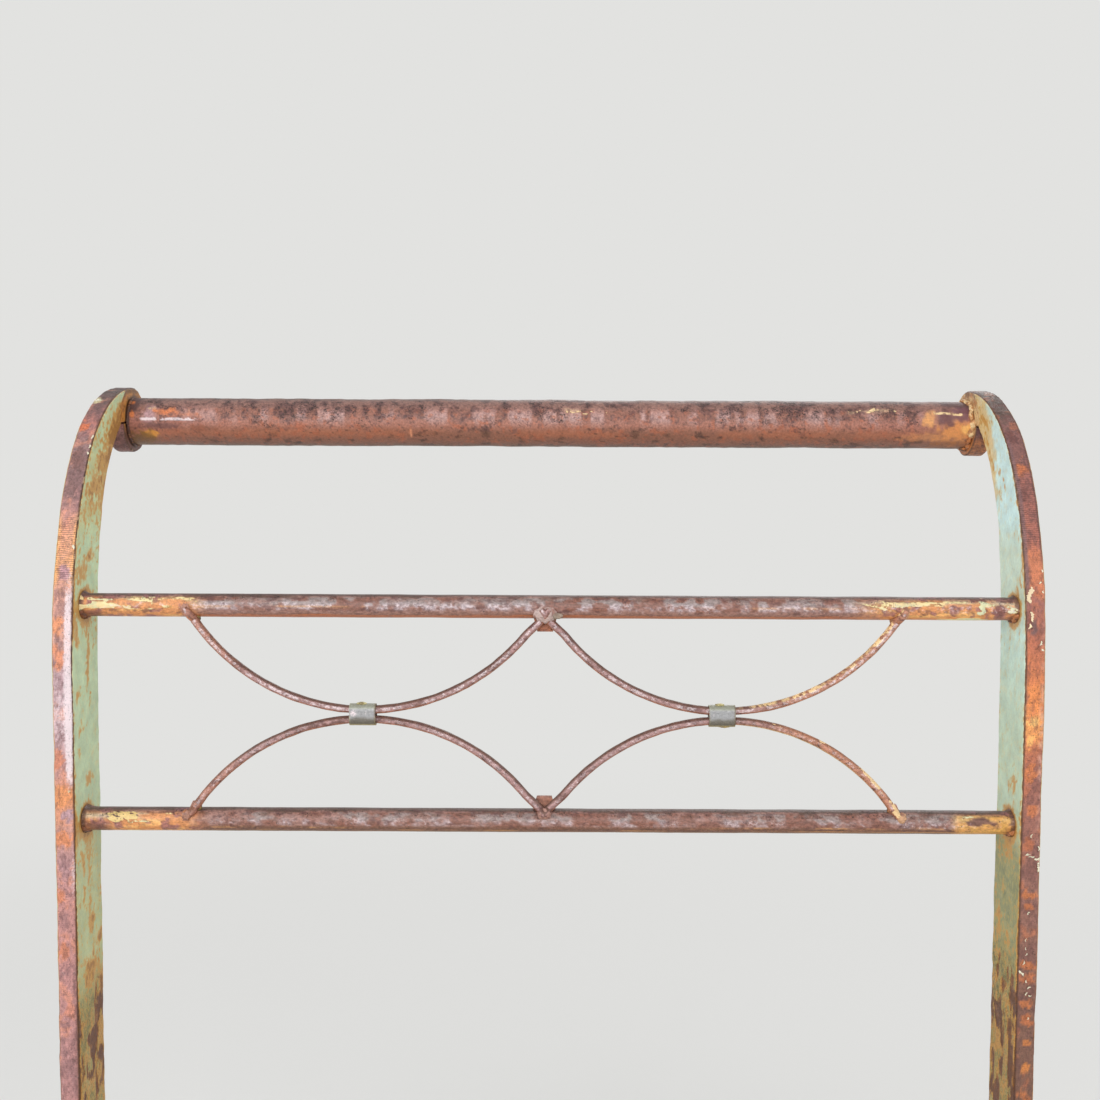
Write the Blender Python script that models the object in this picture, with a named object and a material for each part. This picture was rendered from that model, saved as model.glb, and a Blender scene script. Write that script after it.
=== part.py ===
"""A garden chair welded from flat bar, pipe and round rod, with an open seat of flat slats.

It stands on z = 0, is centred on x = 0 and faces -Y. Sizes are in metres. Left and right are
as seen from the front, so left is at -X. Depths are first worked out from the axis of the top
tube, with + towards the back, and the parent empty then centres the chair on y = 0.
"""

import math

import bmesh
import bpy
import numpy as np
from mathutils import Matrix, Vector

# Whole chair
HEIGHT = 0.890
INSIDE_WIDTH = 0.480
BAR_WIDTH = 0.032
BAR_THICKNESS = 0.010
BAR_ARRIS = 0.0006
TOUCH_GAP = 0.0003

# Side post: straight back, crook and eye at the top, raked leg below the seat
RECLINE = math.radians(5.4)
CROOK_DROP = 0.130
CROOK_REACH = 0.1025
CROOK_FRONT_HANDLES = (0.102, 0.052)
CROOK_BACK_HANDLES = (0.077, 0.037)
CROOK_BACK_END_ANGLE = math.radians(53)
EYE_CREST_RIM = 0.0060
EYE_TIP_RIM = 0.0030
EYE_TURN = math.radians(280)
NOTCH_WIDTH = 0.0034
LEG_BEND_HEIGHT = 0.370
LEG_BEND_RADIUS = 0.180
LEG_RAKE = math.radians(12)

# Top tube and the two rods of the back
TUBE_DIAMETER = 0.0269
TUBE_WALL = 0.0023
ROD_DIAMETER = 0.012
UPPER_ROD_DROP = 0.0912
LOWER_ROD_DROP = 0.2017
ROD_SETBACK = 0.014
WELD_COLLAR_RADIUS = 0.0078
WELD_COLLAR_LENGTH = 0.0032
WELD_COLLAR_SHOULDER = 0.4

# Curved rods between them, with their clips and tabs
ARC_DIAMETER = 0.0045
ARC_END_INSET = 0.0555
ARC_FORWARD = 0.0035
ARC_JOINT_X = -0.0020
CLIP_WIDTH = 0.0134
CLIP_WALL = 0.0005
CLIP_FIT = 0.0005
CLIP_SHIFT = -0.0012
TAB_THICKNESS = 0.0020
MIDDLE_TAB_ROOT = 0.0125
MIDDLE_TAB_TIP = 0.0080
MIDDLE_TAB_REACH = 0.0128
OUTER_TAB_ROOT = 0.0070
OUTER_TAB_TIP = 0.0030
OUTER_TAB_REACH = 0.0093
OUTER_TAB_INSET = 0.0035

# Seat and underframe
SEAT_HEIGHT = 0.440
SEAT_DEPTH = 0.420
RAIL_HEIGHT = 0.025
CROSS_RAIL_THICKNESS = 0.006
SLAT_WIDTH = 0.030
SLAT_THICKNESS = 0.004
SLAT_COUNT = 10
SLAT_POST_GAP = 0.0020
STRETCHER_HEIGHT = 0.160
STRETCHER_DIAMETER = 0.010

# Fineness of the meshes
CURVE_STEPS = 18
BEND_STEPS = 8
RAIL_END_STEPS = 4
EYE_STEPS = 28
TUBE_SIDES = 48
ROD_SIDES = 24
ARC_SIDES = 12
ARC_STEPS = 36
CLIP_STEPS = 8

# Places that follow from them
TUBE_RADIUS = TUBE_DIAMETER / 2
ROD_RADIUS = ROD_DIAMETER / 2
ARC_RADIUS = ARC_DIAMETER / 2
STRETCHER_RADIUS = STRETCHER_DIAMETER / 2
EYE_CREST_RADIUS = TUBE_RADIUS + EYE_CREST_RIM
EYE_TIP_RADIUS = TUBE_RADIUS + EYE_TIP_RIM
TUBE_HEIGHT = HEIGHT - EYE_CREST_RADIUS
HALF_INSIDE = INSIDE_WIDTH / 2
ARC_SPAN = HALF_INSIDE - ARC_END_INSET
BAR_MIDDLE = HALF_INSIDE + BAR_THICKNESS / 2
RAIL_TOP = SEAT_HEIGHT - SLAT_THICKNESS - TOUCH_GAP
RAIL_BOTTOM = RAIL_TOP - RAIL_HEIGHT
SIDES = {"left": -1, "right": 1}


def bezier(start, first_handle, second_handle, end, steps):
    """Points of a cubic curve, ends included."""
    t = np.linspace(0, 1, steps + 1)[:, None]
    points = (1 - t) ** 3 * start + 3 * (1 - t) ** 2 * t * first_handle
    return points + 3 * (1 - t) * t**2 * second_handle + t**3 * end


def leg_bend():
    """Centre of the bend below the seat, as depth and height."""
    up_the_back = np.array([math.sin(RECLINE), math.cos(RECLINE)])
    to_the_rear = np.array([math.cos(RECLINE), -math.sin(RECLINE)])
    crook_start = np.array([-CROOK_REACH, TUBE_HEIGHT - CROOK_DROP])
    corner = crook_start + up_the_back * (LEG_BEND_HEIGHT - crook_start[1]) / up_the_back[1]
    tangent_length = LEG_BEND_RADIUS * math.tan((RECLINE + LEG_RAKE) / 2)
    return corner + tangent_length * up_the_back + LEG_BEND_RADIUS * to_the_rear


def bend_arc(radius):
    """One edge of the bend, from the leg up to the back."""
    angles = np.linspace(LEG_RAKE, -RECLINE, BEND_STEPS + 1)
    return leg_bend() - radius * np.stack([np.cos(angles), np.sin(angles)], axis=1)


def foot_point(bend_end):
    """Where an edge of the raked leg reaches the floor."""
    return np.array([bend_end[0] + bend_end[1] * math.tan(LEG_RAKE), 0.0])


def post_front_edge():
    """Front edge of a side post from the floor to its crest."""
    lower = bend_arc(LEG_BEND_RADIUS)
    start = np.array([-CROOK_REACH, TUBE_HEIGHT - CROOK_DROP])
    crest = np.array([0.0, HEIGHT])
    first = start + CROOK_FRONT_HANDLES[0] * np.array([math.sin(RECLINE), math.cos(RECLINE)])
    second = crest - np.array([CROOK_FRONT_HANDLES[1], 0.0])
    return np.vstack([foot_point(lower[0]), lower, bezier(start, first, second, crest, CURVE_STEPS)])


def eye_spiral():
    """Outer edge of the curled end, from just past the crest round to the notch."""
    turn = np.linspace(0, EYE_TURN, EYE_STEPS + 1)[1:]
    radius = EYE_CREST_RADIUS + (EYE_TIP_RADIUS - EYE_CREST_RADIUS) * turn / EYE_TURN
    angle = math.pi / 2 - turn
    return np.stack([radius * np.cos(angle), TUBE_HEIGHT + radius * np.sin(angle)], axis=1)


def post_back_edge():
    """Rear edge of a side post from the notch down to the floor."""
    notch = np.array([-EYE_TIP_RADIUS - NOTCH_WIDTH, TUBE_HEIGHT])
    start = np.array([-CROOK_REACH, TUBE_HEIGHT - CROOK_DROP])
    start = start + BAR_WIDTH * np.array([math.cos(RECLINE), -math.sin(RECLINE)])
    first = start + CROOK_BACK_HANDLES[0] * np.array([math.sin(RECLINE), math.cos(RECLINE)])
    end_way = np.array([math.sin(CROOK_BACK_END_ANGLE), math.cos(CROOK_BACK_END_ANGLE)])
    second = notch - CROOK_BACK_HANDLES[1] * end_way
    lower = bend_arc(LEG_BEND_RADIUS - BAR_WIDTH)
    curve = bezier(start, first, second, notch, CURVE_STEPS)
    return np.vstack([curve[::-1], lower[::-1], foot_point(lower[0])])


def post_front_at(height):
    """Depth of the posts' front edge at a height."""
    edge = post_front_edge()
    return float(np.interp(height, edge[:, 1], edge[:, 0]))


def seat_front():
    return post_front_at(SEAT_HEIGHT) - SEAT_DEPTH


def rod_centre(drop):
    """Depth and height of a back rod's axis, this far below the tube's."""
    height = TUBE_HEIGHT - drop
    return Vector((0.0, post_front_at(height) + ROD_SETBACK, height))


def srgb(red, green, blue):
    """Linear colour from 8-bit sRGB."""
    def linear(value):
        value /= 255
        return value / 12.92 if value <= 0.04045 else ((value + 0.055) / 1.055) ** 2.4

    return linear(red), linear(green), linear(blue), 1.0


def make_material(name, colour, roughness, metallic):
    material = bpy.data.materials.new(name)
    material.use_nodes = True
    shader = material.node_tree.nodes["Principled BSDF"]
    shader.inputs["Base Color"].default_value = colour
    shader.inputs["Roughness"].default_value = roughness
    shader.inputs["Metallic"].default_value = metallic
    material.diffuse_color = colour
    return material


def add_object(name, bm, material, smooth=False):
    """Turns the mesh into a named object under the chair's origin."""
    bmesh.ops.recalc_face_normals(bm, faces=bm.faces)
    mesh = bpy.data.meshes.new(name)
    bm.to_mesh(mesh)
    bm.free()
    if smooth:
        mesh.shade_smooth()
        mesh.set_sharp_from_angle(angle=math.radians(35))
    mesh.materials.append(material)
    made = bpy.data.objects.new(name, mesh)
    bpy.context.scene.collection.objects.link(made)
    made.parent = bpy.data.objects["chair_origin"]
    return made


def add_arris(made):
    """Breaks the sharp long edges of flat bar."""
    bevel = made.modifiers.new("arris", "BEVEL")
    bevel.width = BAR_ARRIS
    bevel.segments = 1
    bevel.limit_method = "ANGLE"
    bevel.angle_limit = math.radians(50)


def as_cutter(made):
    made.hide_render = True
    made.display_type = "WIRE"
    return made


def cut(made, cutter):
    boolean = made.modifiers.new("cut_" + cutter.name, "BOOLEAN")
    boolean.operation = "DIFFERENCE"
    boolean.solver = "EXACT"
    boolean.object = cutter


def prism_along_x(name, outline, middle_x, thickness, material):
    """Solid with this outline in depth and height, and this thickness across the chair."""
    bm = bmesh.new()
    corners = [bm.verts.new((-thickness / 2, depth, height)) for depth, height in outline]
    face = bm.faces.new(corners)
    swept = bmesh.ops.extrude_face_region(bm, geom=[face])["geom"]
    moved = [item for item in swept if isinstance(item, bmesh.types.BMVert)]
    bmesh.ops.translate(bm, verts=moved, vec=(thickness, 0, 0))
    made = add_object(name, bm, material)
    made.location.x = middle_x
    return made


def block(name, low, high, material):
    """Rectangular bar between two opposite corners."""
    low, high = Vector(low), Vector(high)
    bm = bmesh.new()
    size = Matrix.Diagonal((high - low).to_4d())
    size[3][3] = 1
    bmesh.ops.create_cube(bm, size=1, matrix=size)
    made = add_object(name, bm, material)
    made.location = (low + high) / 2
    return made


def ring(bm, centre, across, up, radius, sides):
    turn = [2 * math.pi * k / sides for k in range(sides)]
    return [bm.verts.new(centre + radius * (math.cos(a) * across + math.sin(a) * up)) for a in turn]


def skin(bm, rings, capped=True):
    """Joins rings of equal count in order, and closes the two ends."""
    for first, second in zip(rings, rings[1:]):
        count = len(first)
        for k in range(count):
            bm.faces.new((first[k], first[(k + 1) % count], second[(k + 1) % count], second[k]))
    if capped:
        bm.faces.new(rings[0])
        bm.faces.new(rings[-1])


def rod_across(name, half_length, radius, collar, material):
    """Round bar along X, with a fillet of weld at both ends where collar is over its radius."""
    profile = [(-half_length, radius), (half_length, radius)]
    if collar > radius:
        shoulder = radius + (collar - radius) * WELD_COLLAR_SHOULDER
        bend = WELD_COLLAR_LENGTH * WELD_COLLAR_SHOULDER
        left = [(0, collar), (bend, shoulder), (WELD_COLLAR_LENGTH, radius)]
        profile = [(-half_length + x, r) for x, r in left]
        profile += [(half_length - x, r) for x, r in reversed(left)]
    bm = bmesh.new()
    y_way, z_way = Vector((0, 1, 0)), Vector((0, 0, 1))
    rings = [ring(bm, Vector((x, 0, 0)), y_way, z_way, r, ROD_SIDES) for x, r in profile]
    skin(bm, rings)
    return add_object(name, bm, material, smooth=True)


def make_side_posts(material):
    outline = np.vstack([post_front_edge(), eye_spiral(), post_back_edge()])
    for side, sign in SIDES.items():
        post = prism_along_x("side_post_" + side, outline, sign * BAR_MIDDLE, BAR_THICKNESS, material)
        add_arris(post)


def make_top_tube(material):
    """Open pipe whose ends stand against the eyes of the posts."""
    bm = bmesh.new()
    half = HALF_INSIDE - TOUCH_GAP
    y_way, z_way = Vector((0, 1, 0)), Vector((0, 0, 1))
    stations = [(-half, TUBE_RADIUS), (half, TUBE_RADIUS)]
    stations += [(half, TUBE_RADIUS - TUBE_WALL), (-half, TUBE_RADIUS - TUBE_WALL)]
    rings = [ring(bm, Vector((x, 0, 0)), y_way, z_way, r, TUBE_SIDES) for x, r in stations]
    skin(bm, rings + rings[:1], capped=False)
    tube = add_object("top_tube", bm, material, smooth=True)
    tube.location.z = TUBE_HEIGHT


def make_back_rods(material):
    for name, drop in (("upper_rod", UPPER_ROD_DROP), ("lower_rod", LOWER_ROD_DROP)):
        half = HALF_INSIDE - TOUCH_GAP
        rod = rod_across(name, half, ROD_RADIUS, WELD_COLLAR_RADIUS, material)
        rod.location = rod_centre(drop)


def back_plane():
    """Lower rod's axis, the way up the plane of both rods and the way out of its front."""
    lower, upper = rod_centre(LOWER_ROD_DROP), rod_centre(UPPER_ROD_DROP)
    up = (upper - lower).normalized()
    return lower, upper, up, Vector((0, -up.z, up.y))


def make_rod_cutter(name, centre, material):
    radius = ROD_RADIUS + TOUCH_GAP
    cutter = as_cutter(rod_across(name, HALF_INSIDE, radius, 0, material))
    cutter.location = centre
    return cutter


def make_arcs(material):
    """Four thin rods: two sag from the upper rod and two rise from the lower one to meet them."""
    lower, upper, up, front = back_plane()
    sagitta = (upper - lower).length / 2 - ARC_RADIUS - TOUCH_GAP / 2
    radius = ((ARC_SPAN / 2) ** 2 + sagitta**2) / (2 * sagitta)
    half_angle = math.asin(ARC_SPAN / 2 / radius)
    side_way = Vector((1, 0, 0))
    for level, rod, inward in (("upper", upper, -up), ("lower", lower, up)):
        rod_cutter = make_rod_cutter("cut_" + level, rod, material)
        for side, sign in SIDES.items():
            middle = rod + ARC_FORWARD * front + (ARC_JOINT_X + sign * ARC_SPAN / 2) * side_way
            centre = middle + (sagitta - radius) * inward
            bm = bmesh.new()
            rings = []
            for angle in np.linspace(-half_angle, half_angle, ARC_STEPS + 1):
                outward = math.cos(angle) * inward + math.sin(angle) * side_way
                rings.append(ring(bm, centre + radius * outward, outward, front, ARC_RADIUS, ARC_SIDES))
            skin(bm, rings)
            arc = add_object(f"arc_{level}_{side}", bm, material, smooth=True)
            cut(arc, rod_cutter)
            cut(arc, make_mitre_cutter(f"mitre_{level}_{side}", -sign, rod, material))


def make_mitre_cutter(name, sign, rod, material):
    """Block beyond the middle joint, which squares off the arc that ends there."""
    reach = 6 * ARC_DIAMETER
    near = ARC_JOINT_X + sign * TOUCH_GAP / 2
    low = (min(near, near + sign * reach), rod.y - reach, rod.z - reach)
    high = (max(near, near + sign * reach), rod.y + reach, rod.z + reach)
    return as_cutter(block(name, low, high, material))


def stadium(half_height, radius):
    """Points of a slot shape, as across and up, starting at the right of its top arc."""
    points = []
    for base, lift in ((0, half_height - radius), (math.pi, radius - half_height)):
        for k in range(CLIP_STEPS + 1):
            angle = base + math.pi * k / CLIP_STEPS
            points.append((radius * math.cos(angle), lift + radius * math.sin(angle)))
    return points


def make_clips(material):
    """A strip of sheet metal wrapped round each pair of arcs where they touch."""
    lower, upper, up, front = back_plane()
    inner_radius = ARC_RADIUS + CLIP_FIT
    inner_height = ARC_DIAMETER + TOUCH_GAP / 2 + CLIP_FIT
    loops = ((inner_height + CLIP_WALL, inner_radius + CLIP_WALL), (inner_height, inner_radius))
    for side, sign in SIDES.items():
        middle_x = ARC_JOINT_X + sign * ARC_SPAN / 2 + CLIP_SHIFT
        middle = (lower + upper) / 2 + ARC_FORWARD * front
        bm = bmesh.new()
        rings = []
        for loop, way in ((0, -1), (0, 1), (1, 1), (1, -1)):
            outline = stadium(*loops[loop])
            x = way * CLIP_WIDTH / 2
            rings.append([bm.verts.new(Vector((x, 0, 0)) + a * front + b * up) for a, b in outline])
        skin(bm, rings + rings[:1], capped=False)
        clip = add_object("clip_" + side, bm, material, smooth=True)
        clip.location = middle + Vector((middle_x, 0, 0))


def make_tab(name, x, root, tip, reach, rod, inward, front, material):
    """Small plate from a rod, behind the arcs that are welded to it."""
    face = ARC_FORWARD - ARC_RADIUS - TOUCH_GAP
    start = ROD_RADIUS + TOUCH_GAP
    side_way = Vector((1, 0, 0))
    corners = ((-root / 2, start), (root / 2, start), (tip / 2, reach), (-tip / 2, reach))
    bm = bmesh.new()
    outline = [bm.verts.new(a * side_way + b * inward + face * front) for a, b in corners]
    plate = bm.faces.new(outline)
    swept = bmesh.ops.extrude_face_region(bm, geom=[plate])["geom"]
    moved = [item for item in swept if isinstance(item, bmesh.types.BMVert)]
    bmesh.ops.translate(bm, verts=moved, vec=-TAB_THICKNESS * front)
    tab = add_object(name, bm, material)
    tab.location = rod + x * side_way


def make_tabs(material):
    lower, upper, up, front = back_plane()
    for level, rod, inward in (("upper", upper, -up), ("lower", lower, up)):
        make_tab(f"tab_{level}_middle", ARC_JOINT_X, MIDDLE_TAB_ROOT, MIDDLE_TAB_TIP,
                 MIDDLE_TAB_REACH, rod, inward, front, material)
        for side, sign in SIDES.items():
            x = ARC_JOINT_X + sign * (ARC_SPAN - OUTER_TAB_INSET)
            make_tab(f"tab_{level}_{side}", x, OUTER_TAB_ROOT, OUTER_TAB_TIP,
                     OUTER_TAB_REACH, rod, inward, front, material)


def make_front_legs(material):
    for side, sign in SIDES.items():
        low = (sign * BAR_MIDDLE - BAR_THICKNESS / 2, seat_front(), 0)
        high = (sign * BAR_MIDDLE + BAR_THICKNESS / 2, seat_front() + BAR_WIDTH, RAIL_TOP)
        add_arris(block("front_leg_" + side, low, high, material))


def make_side_rails(material):
    """Seat rails from leg to post, cut at the rear to follow the edge of the post."""
    front = seat_front() + BAR_WIDTH + TOUCH_GAP
    heights = np.linspace(RAIL_BOTTOM, RAIL_TOP, RAIL_END_STEPS + 1)
    rear = [(post_front_at(height) - TOUCH_GAP, height) for height in heights]
    outline = [(front, RAIL_BOTTOM), *rear, (front, RAIL_TOP)]
    for side, sign in SIDES.items():
        rail = prism_along_x("seat_side_rail_" + side, outline, sign * BAR_MIDDLE, BAR_THICKNESS, material)
        add_arris(rail)


def slat_fronts():
    """Front edge of each slat, evenly spaced from the legs to the posts."""
    last = post_front_at(RAIL_TOP) - SLAT_POST_GAP - SLAT_WIDTH
    return np.linspace(seat_front(), last, SLAT_COUNT)


def make_cross_rails(material):
    """Flat bars on edge under the first and the last slat."""
    half = HALF_INSIDE - TOUCH_GAP
    fronts = slat_fronts()
    for name, slat in (("seat_front_rail", fronts[0]), ("seat_rear_rail", fronts[-1])):
        start = slat + (SLAT_WIDTH - CROSS_RAIL_THICKNESS) / 2
        low, high = (-half, start, RAIL_BOTTOM), (half, start + CROSS_RAIL_THICKNESS, RAIL_TOP)
        add_arris(block(name, low, high, material))


def make_slats(material):
    half = HALF_INSIDE + BAR_THICKNESS
    for number, front in enumerate(slat_fronts(), start=1):
        low = (-half, front, SEAT_HEIGHT - SLAT_THICKNESS)
        high = (half, front + SLAT_WIDTH, SEAT_HEIGHT)
        add_arris(block(f"seat_slat_{number:02d}", low, high, material))


def make_stretchers(material):
    """A rod low down on each side, cut to the leg's slope, and one across between the two."""
    start = seat_front() + BAR_WIDTH + TOUCH_GAP
    y_way, z_way, x_way = Vector((0, 1, 0)), Vector((0, 0, 1)), Vector((1, 0, 0))
    end = post_front_at(STRETCHER_HEIGHT) - TOUCH_GAP
    for side, sign in SIDES.items():
        bm = bmesh.new()
        rings = [ring(bm, y * y_way, x_way, z_way, STRETCHER_RADIUS, ROD_SIDES) for y in (start, end)]
        for corner in rings[1]:
            corner.co.y = post_front_at(STRETCHER_HEIGHT + corner.co.z) - TOUCH_GAP
        skin(bm, rings)
        rod = add_object("stretcher_" + side, bm, material, smooth=True)
        rod.location = (sign * BAR_MIDDLE, 0, STRETCHER_HEIGHT)
    cross = rod_across("stretcher_cross", BAR_MIDDLE, STRETCHER_RADIUS, 0, material)
    cross.location = (0, (start + end) / 2, STRETCHER_HEIGHT)
    for side, sign in SIDES.items():
        cutter = rod_across("cope_" + side, 4 * STRETCHER_DIAMETER, STRETCHER_RADIUS + TOUCH_GAP, 0, material)
        cutter.rotation_euler.z = math.pi / 2
        cutter.location = (sign * BAR_MIDDLE, (start + end) / 2, STRETCHER_HEIGHT)
        cut(cross, as_cutter(cutter))


def make_origin():
    """Empty that carries the whole chair and centres its depth on y = 0."""
    rear = max(eye_spiral()[:, 0].max(), post_back_edge()[:, 0].max())
    origin = bpy.data.objects.new("chair_origin", None)
    origin.empty_display_size = 0.1
    origin.location = (0, -(seat_front() + rear) / 2, 0)
    bpy.context.scene.collection.objects.link(origin)


def main():
    for old in list(bpy.data.objects):
        bpy.data.objects.remove(old, do_unlink=True)
    side_paint = make_material("side_bar_paint", srgb(176, 178, 150), 0.45, 0.0)
    seat_paint = make_material("seat_paint", srgb(168, 184, 160), 0.5, 0.0)
    tube_rust = make_material("tube_rust", srgb(150, 100, 88), 0.4, 0.2)
    rod_rust = make_material("rod_rust", srgb(150, 112, 98), 0.4, 0.2)
    clip_metal = make_material("clip_metal", srgb(180, 185, 170), 0.35, 0.4)
    make_origin()
    make_side_posts(side_paint)
    make_top_tube(tube_rust)
    make_back_rods(rod_rust)
    make_arcs(rod_rust)
    make_clips(clip_metal)
    make_tabs(rod_rust)
    make_front_legs(side_paint)
    make_side_rails(side_paint)
    make_cross_rails(side_paint)
    make_slats(seat_paint)
    make_stretchers(rod_rust)


main()
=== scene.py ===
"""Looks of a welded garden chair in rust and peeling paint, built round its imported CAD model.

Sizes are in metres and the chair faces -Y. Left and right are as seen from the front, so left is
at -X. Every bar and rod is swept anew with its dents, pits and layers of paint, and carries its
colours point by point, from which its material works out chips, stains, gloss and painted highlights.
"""

import math

import bpy
import numpy as np
from bpy.props import FloatProperty, FloatVectorProperty, PointerProperty
from mathutils import Matrix, Vector


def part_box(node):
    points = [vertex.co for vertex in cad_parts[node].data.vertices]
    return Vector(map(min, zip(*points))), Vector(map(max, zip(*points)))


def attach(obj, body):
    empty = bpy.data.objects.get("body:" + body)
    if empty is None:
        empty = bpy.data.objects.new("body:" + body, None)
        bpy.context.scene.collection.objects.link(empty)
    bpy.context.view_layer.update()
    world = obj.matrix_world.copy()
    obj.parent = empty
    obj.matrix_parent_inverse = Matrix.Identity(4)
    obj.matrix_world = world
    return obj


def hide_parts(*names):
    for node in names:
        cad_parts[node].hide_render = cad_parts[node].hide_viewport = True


bl_info = {
    "name": "Weathered garden chair",
    "version": (1, 0, 0),
    "blender": (4, 5, 0),
    "location": "3D View > Sidebar > Chair",
    "description": "Dresses the packed chair in rust and peeling paint",
    "category": "Object",
}

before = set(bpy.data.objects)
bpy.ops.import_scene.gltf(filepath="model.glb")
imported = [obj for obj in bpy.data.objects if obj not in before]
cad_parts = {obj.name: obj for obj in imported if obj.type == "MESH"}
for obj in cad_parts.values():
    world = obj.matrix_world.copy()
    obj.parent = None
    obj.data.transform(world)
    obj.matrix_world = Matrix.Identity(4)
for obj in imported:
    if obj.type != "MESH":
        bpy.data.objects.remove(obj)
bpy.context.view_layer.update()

# Shape of the side bars, as in the part's source
BAR_WIDTH = 0.032
BAR_THICKNESS = 0.010
RECLINE = math.radians(5.4)
CROOK_DROP = 0.130
CROOK_REACH = 0.1025
CROOK_FRONT_HANDLES = (0.102, 0.052)
CROOK_BACK_HANDLES = (0.077, 0.037)
CROOK_BACK_END_ANGLE = math.radians(53)
EYE_CREST_RADIUS = 0.01945
EYE_TIP_RADIUS = 0.01645
EYE_TURN = math.radians(280)
CURL_TURN = math.radians(267)
NOTCH_WIDTH = 0.0034
LEG_BEND_HEIGHT = 0.370
LEG_BEND_RADIUS = 0.180
LEG_RAKE = math.radians(12)

# Rods, curved rods and what holds them
ROD_RADIUS = 0.006
WELD_COLLAR_RADIUS = 0.0078
WELD_COLLAR_LENGTH = 0.0032
ARC_RADIUS = 0.00225
ARC_SPAN = 0.1845
ARC_FORWARD = 0.0035
ARC_JOINT_X = -0.0020
TOUCH_GAP = 0.0003
CLIP_WIDTH = 0.0134
CLIP_WALL = 0.0005
STRETCHER_RADIUS = 0.005
WELD_REACH = 0.006
ARC_END_LIFT = {"upper": 0.0006, "lower": 0.0032}
JOINT_GATHER = 0.0024
CLIP_PLAY = 0.0005
CLIP_HALF = 2 * ARC_RADIUS + TOUCH_GAP / 2
HATCH_PITCH = 0.00108
SHARP_ANGLE = math.radians(38)
FIRST_FLAKE_ROW = 200
ACROSS = np.array([1.0, 0.0, 0.0])

# Camera of the photograph's view
CAMERA_PLACE = (0.0003, -0.3736, 0.8922)
CAMERA_DOWN = math.radians(8.5)
CAMERA_ROLL = math.radians(0.27)
CAMERA_LENS = 36

SIDES = {"left": -1, "right": 1}


def middle_of(node):
    low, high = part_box(node)
    return np.array((low + high) / 2)


AXIS = middle_of("top_tube")
TUBE_RADIUS = float(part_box("top_tube")[1].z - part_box("top_tube")[0].z) / 2
TUBE_END = float(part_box("top_tube")[1].x)
BAR_MIDDLE = float(middle_of("side_post_right")[0])
UPPER_ROD = middle_of("upper_rod")
LOWER_ROD = middle_of("lower_rod")


def rgb(red, green, blue):
    """Colour from 8-bit values, as it shows on a screen."""
    return (red / 255, green / 255, blue / 255)


def colour_property(name, description, default):
    return FloatVectorProperty(
        name=name, description=description, default=default, subtype="COLOR_GAMMA", size=3, min=0, max=1)


def length_property(name, description, default, low, high):
    return FloatProperty(name=name, description=description, default=default, min=low, max=high,
                         unit="LENGTH", precision=5)


class PaintColours(bpy.types.PropertyGroup):
    """Coats of paint that are left on the chair."""

    mint: colour_property("Mint", "Pale mint paint on the inner faces of the left bar", rgb(192, 214, 176))
    aqua: colour_property("Aqua", "Paler blue green paint on the right bar", rgb(204, 234, 229))
    sage: colour_property("Sage", "Greyed green paint lower down and on the seat", rgb(186, 200, 164))
    cream: colour_property("Cream", "Old cream undercoat in chips and along edges", rgb(222, 198, 150))


class RustColours(bpy.types.PropertyGroup):
    """Tones of the rust and primer under the paint."""

    copper: colour_property("Copper", "Red brown of the top tube", rgb(146, 96, 80))
    mauve: colour_property("Mauve", "Pinkish brown under the worn paint", rgb(150, 104, 94))
    pink: colour_property("Pink", "Bright worn pink of the bars' narrow edges", rgb(200, 146, 138))
    orange: colour_property("Orange", "Bright orange rust", rgb(186, 108, 58))
    ochre: colour_property("Ochre", "Yellow brown stain", rgb(166, 118, 58))
    umber: colour_property("Umber", "Dark brown scale", rgb(84, 56, 46))
    plum: colour_property("Plum", "Dark purple brown mottling", rgb(92, 60, 60))


class SurfaceWear(bpy.types.PropertyGroup):
    """How deep the wear goes."""

    paint_thickness: length_property(
        "Paint thickness", "How far the paint stands above the bare metal", 0.00022, 0, 0.001)
    dent_depth: length_property(
        "Dent depth", "Depth of the wide hammer dents along the bars", 0.00030, 0, 0.002)
    scale_depth: length_property("Scale depth", "Height of the crusts of rust", 0.00012, 0, 0.001)
    bar_arris: length_property(
        "Bar arris", "Rounding of the long edges of the side bars", 0.0010, 0.0002, 0.003)


class StageSettings(bpy.types.PropertyGroup):
    """Plain studio round the chair."""

    backdrop: colour_property("Backdrop", "Pale tone of the floor and of what is behind", rgb(226, 226, 224))
    key_power: FloatProperty(
        name="Key lamp", description="Power of the large lamp in front", default=42, min=0, unit="POWER")
    fill_power: FloatProperty(
        name="Fill lamp", description="Power of the lamps at the sides", default=14, min=0, unit="POWER")
    sky_strength: FloatProperty(
        name="Sky strength", description="Even light from all round", default=0.55, min=0, subtype="FACTOR")


def noise(points, size, seed, octaves=1):
    """Smooth noise from -1 to 1 over the points, with lumps of about this size."""
    table = np.random.default_rng(seed).uniform(-1, 1, 4096)
    size = np.broadcast_to(np.array(size, float), 3)
    total = np.zeros(len(points))
    weight_sum = 0.0
    for octave in range(octaves):
        weight = 0.5 ** octave
        place = points / size * 2 ** octave + 13.7 * octave + seed
        base = np.floor(place).astype(np.int64)
        part = place - base
        part = part ** 3 * (part * (part * 6 - 15) + 10)
        for corner in range(8):
            bits = np.array([corner & 1, corner >> 1 & 1, corner >> 2 & 1])
            cell = base + bits
            key = cell[:, 0] * 73856093 ^ cell[:, 1] * 19349663 ^ cell[:, 2] * 83492791
            share = np.prod(np.where(bits, part, 1 - part), axis=1)
            total += weight * share * table[key & 4095]
        weight_sum += weight
    return total / weight_sum * 1.5


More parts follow.
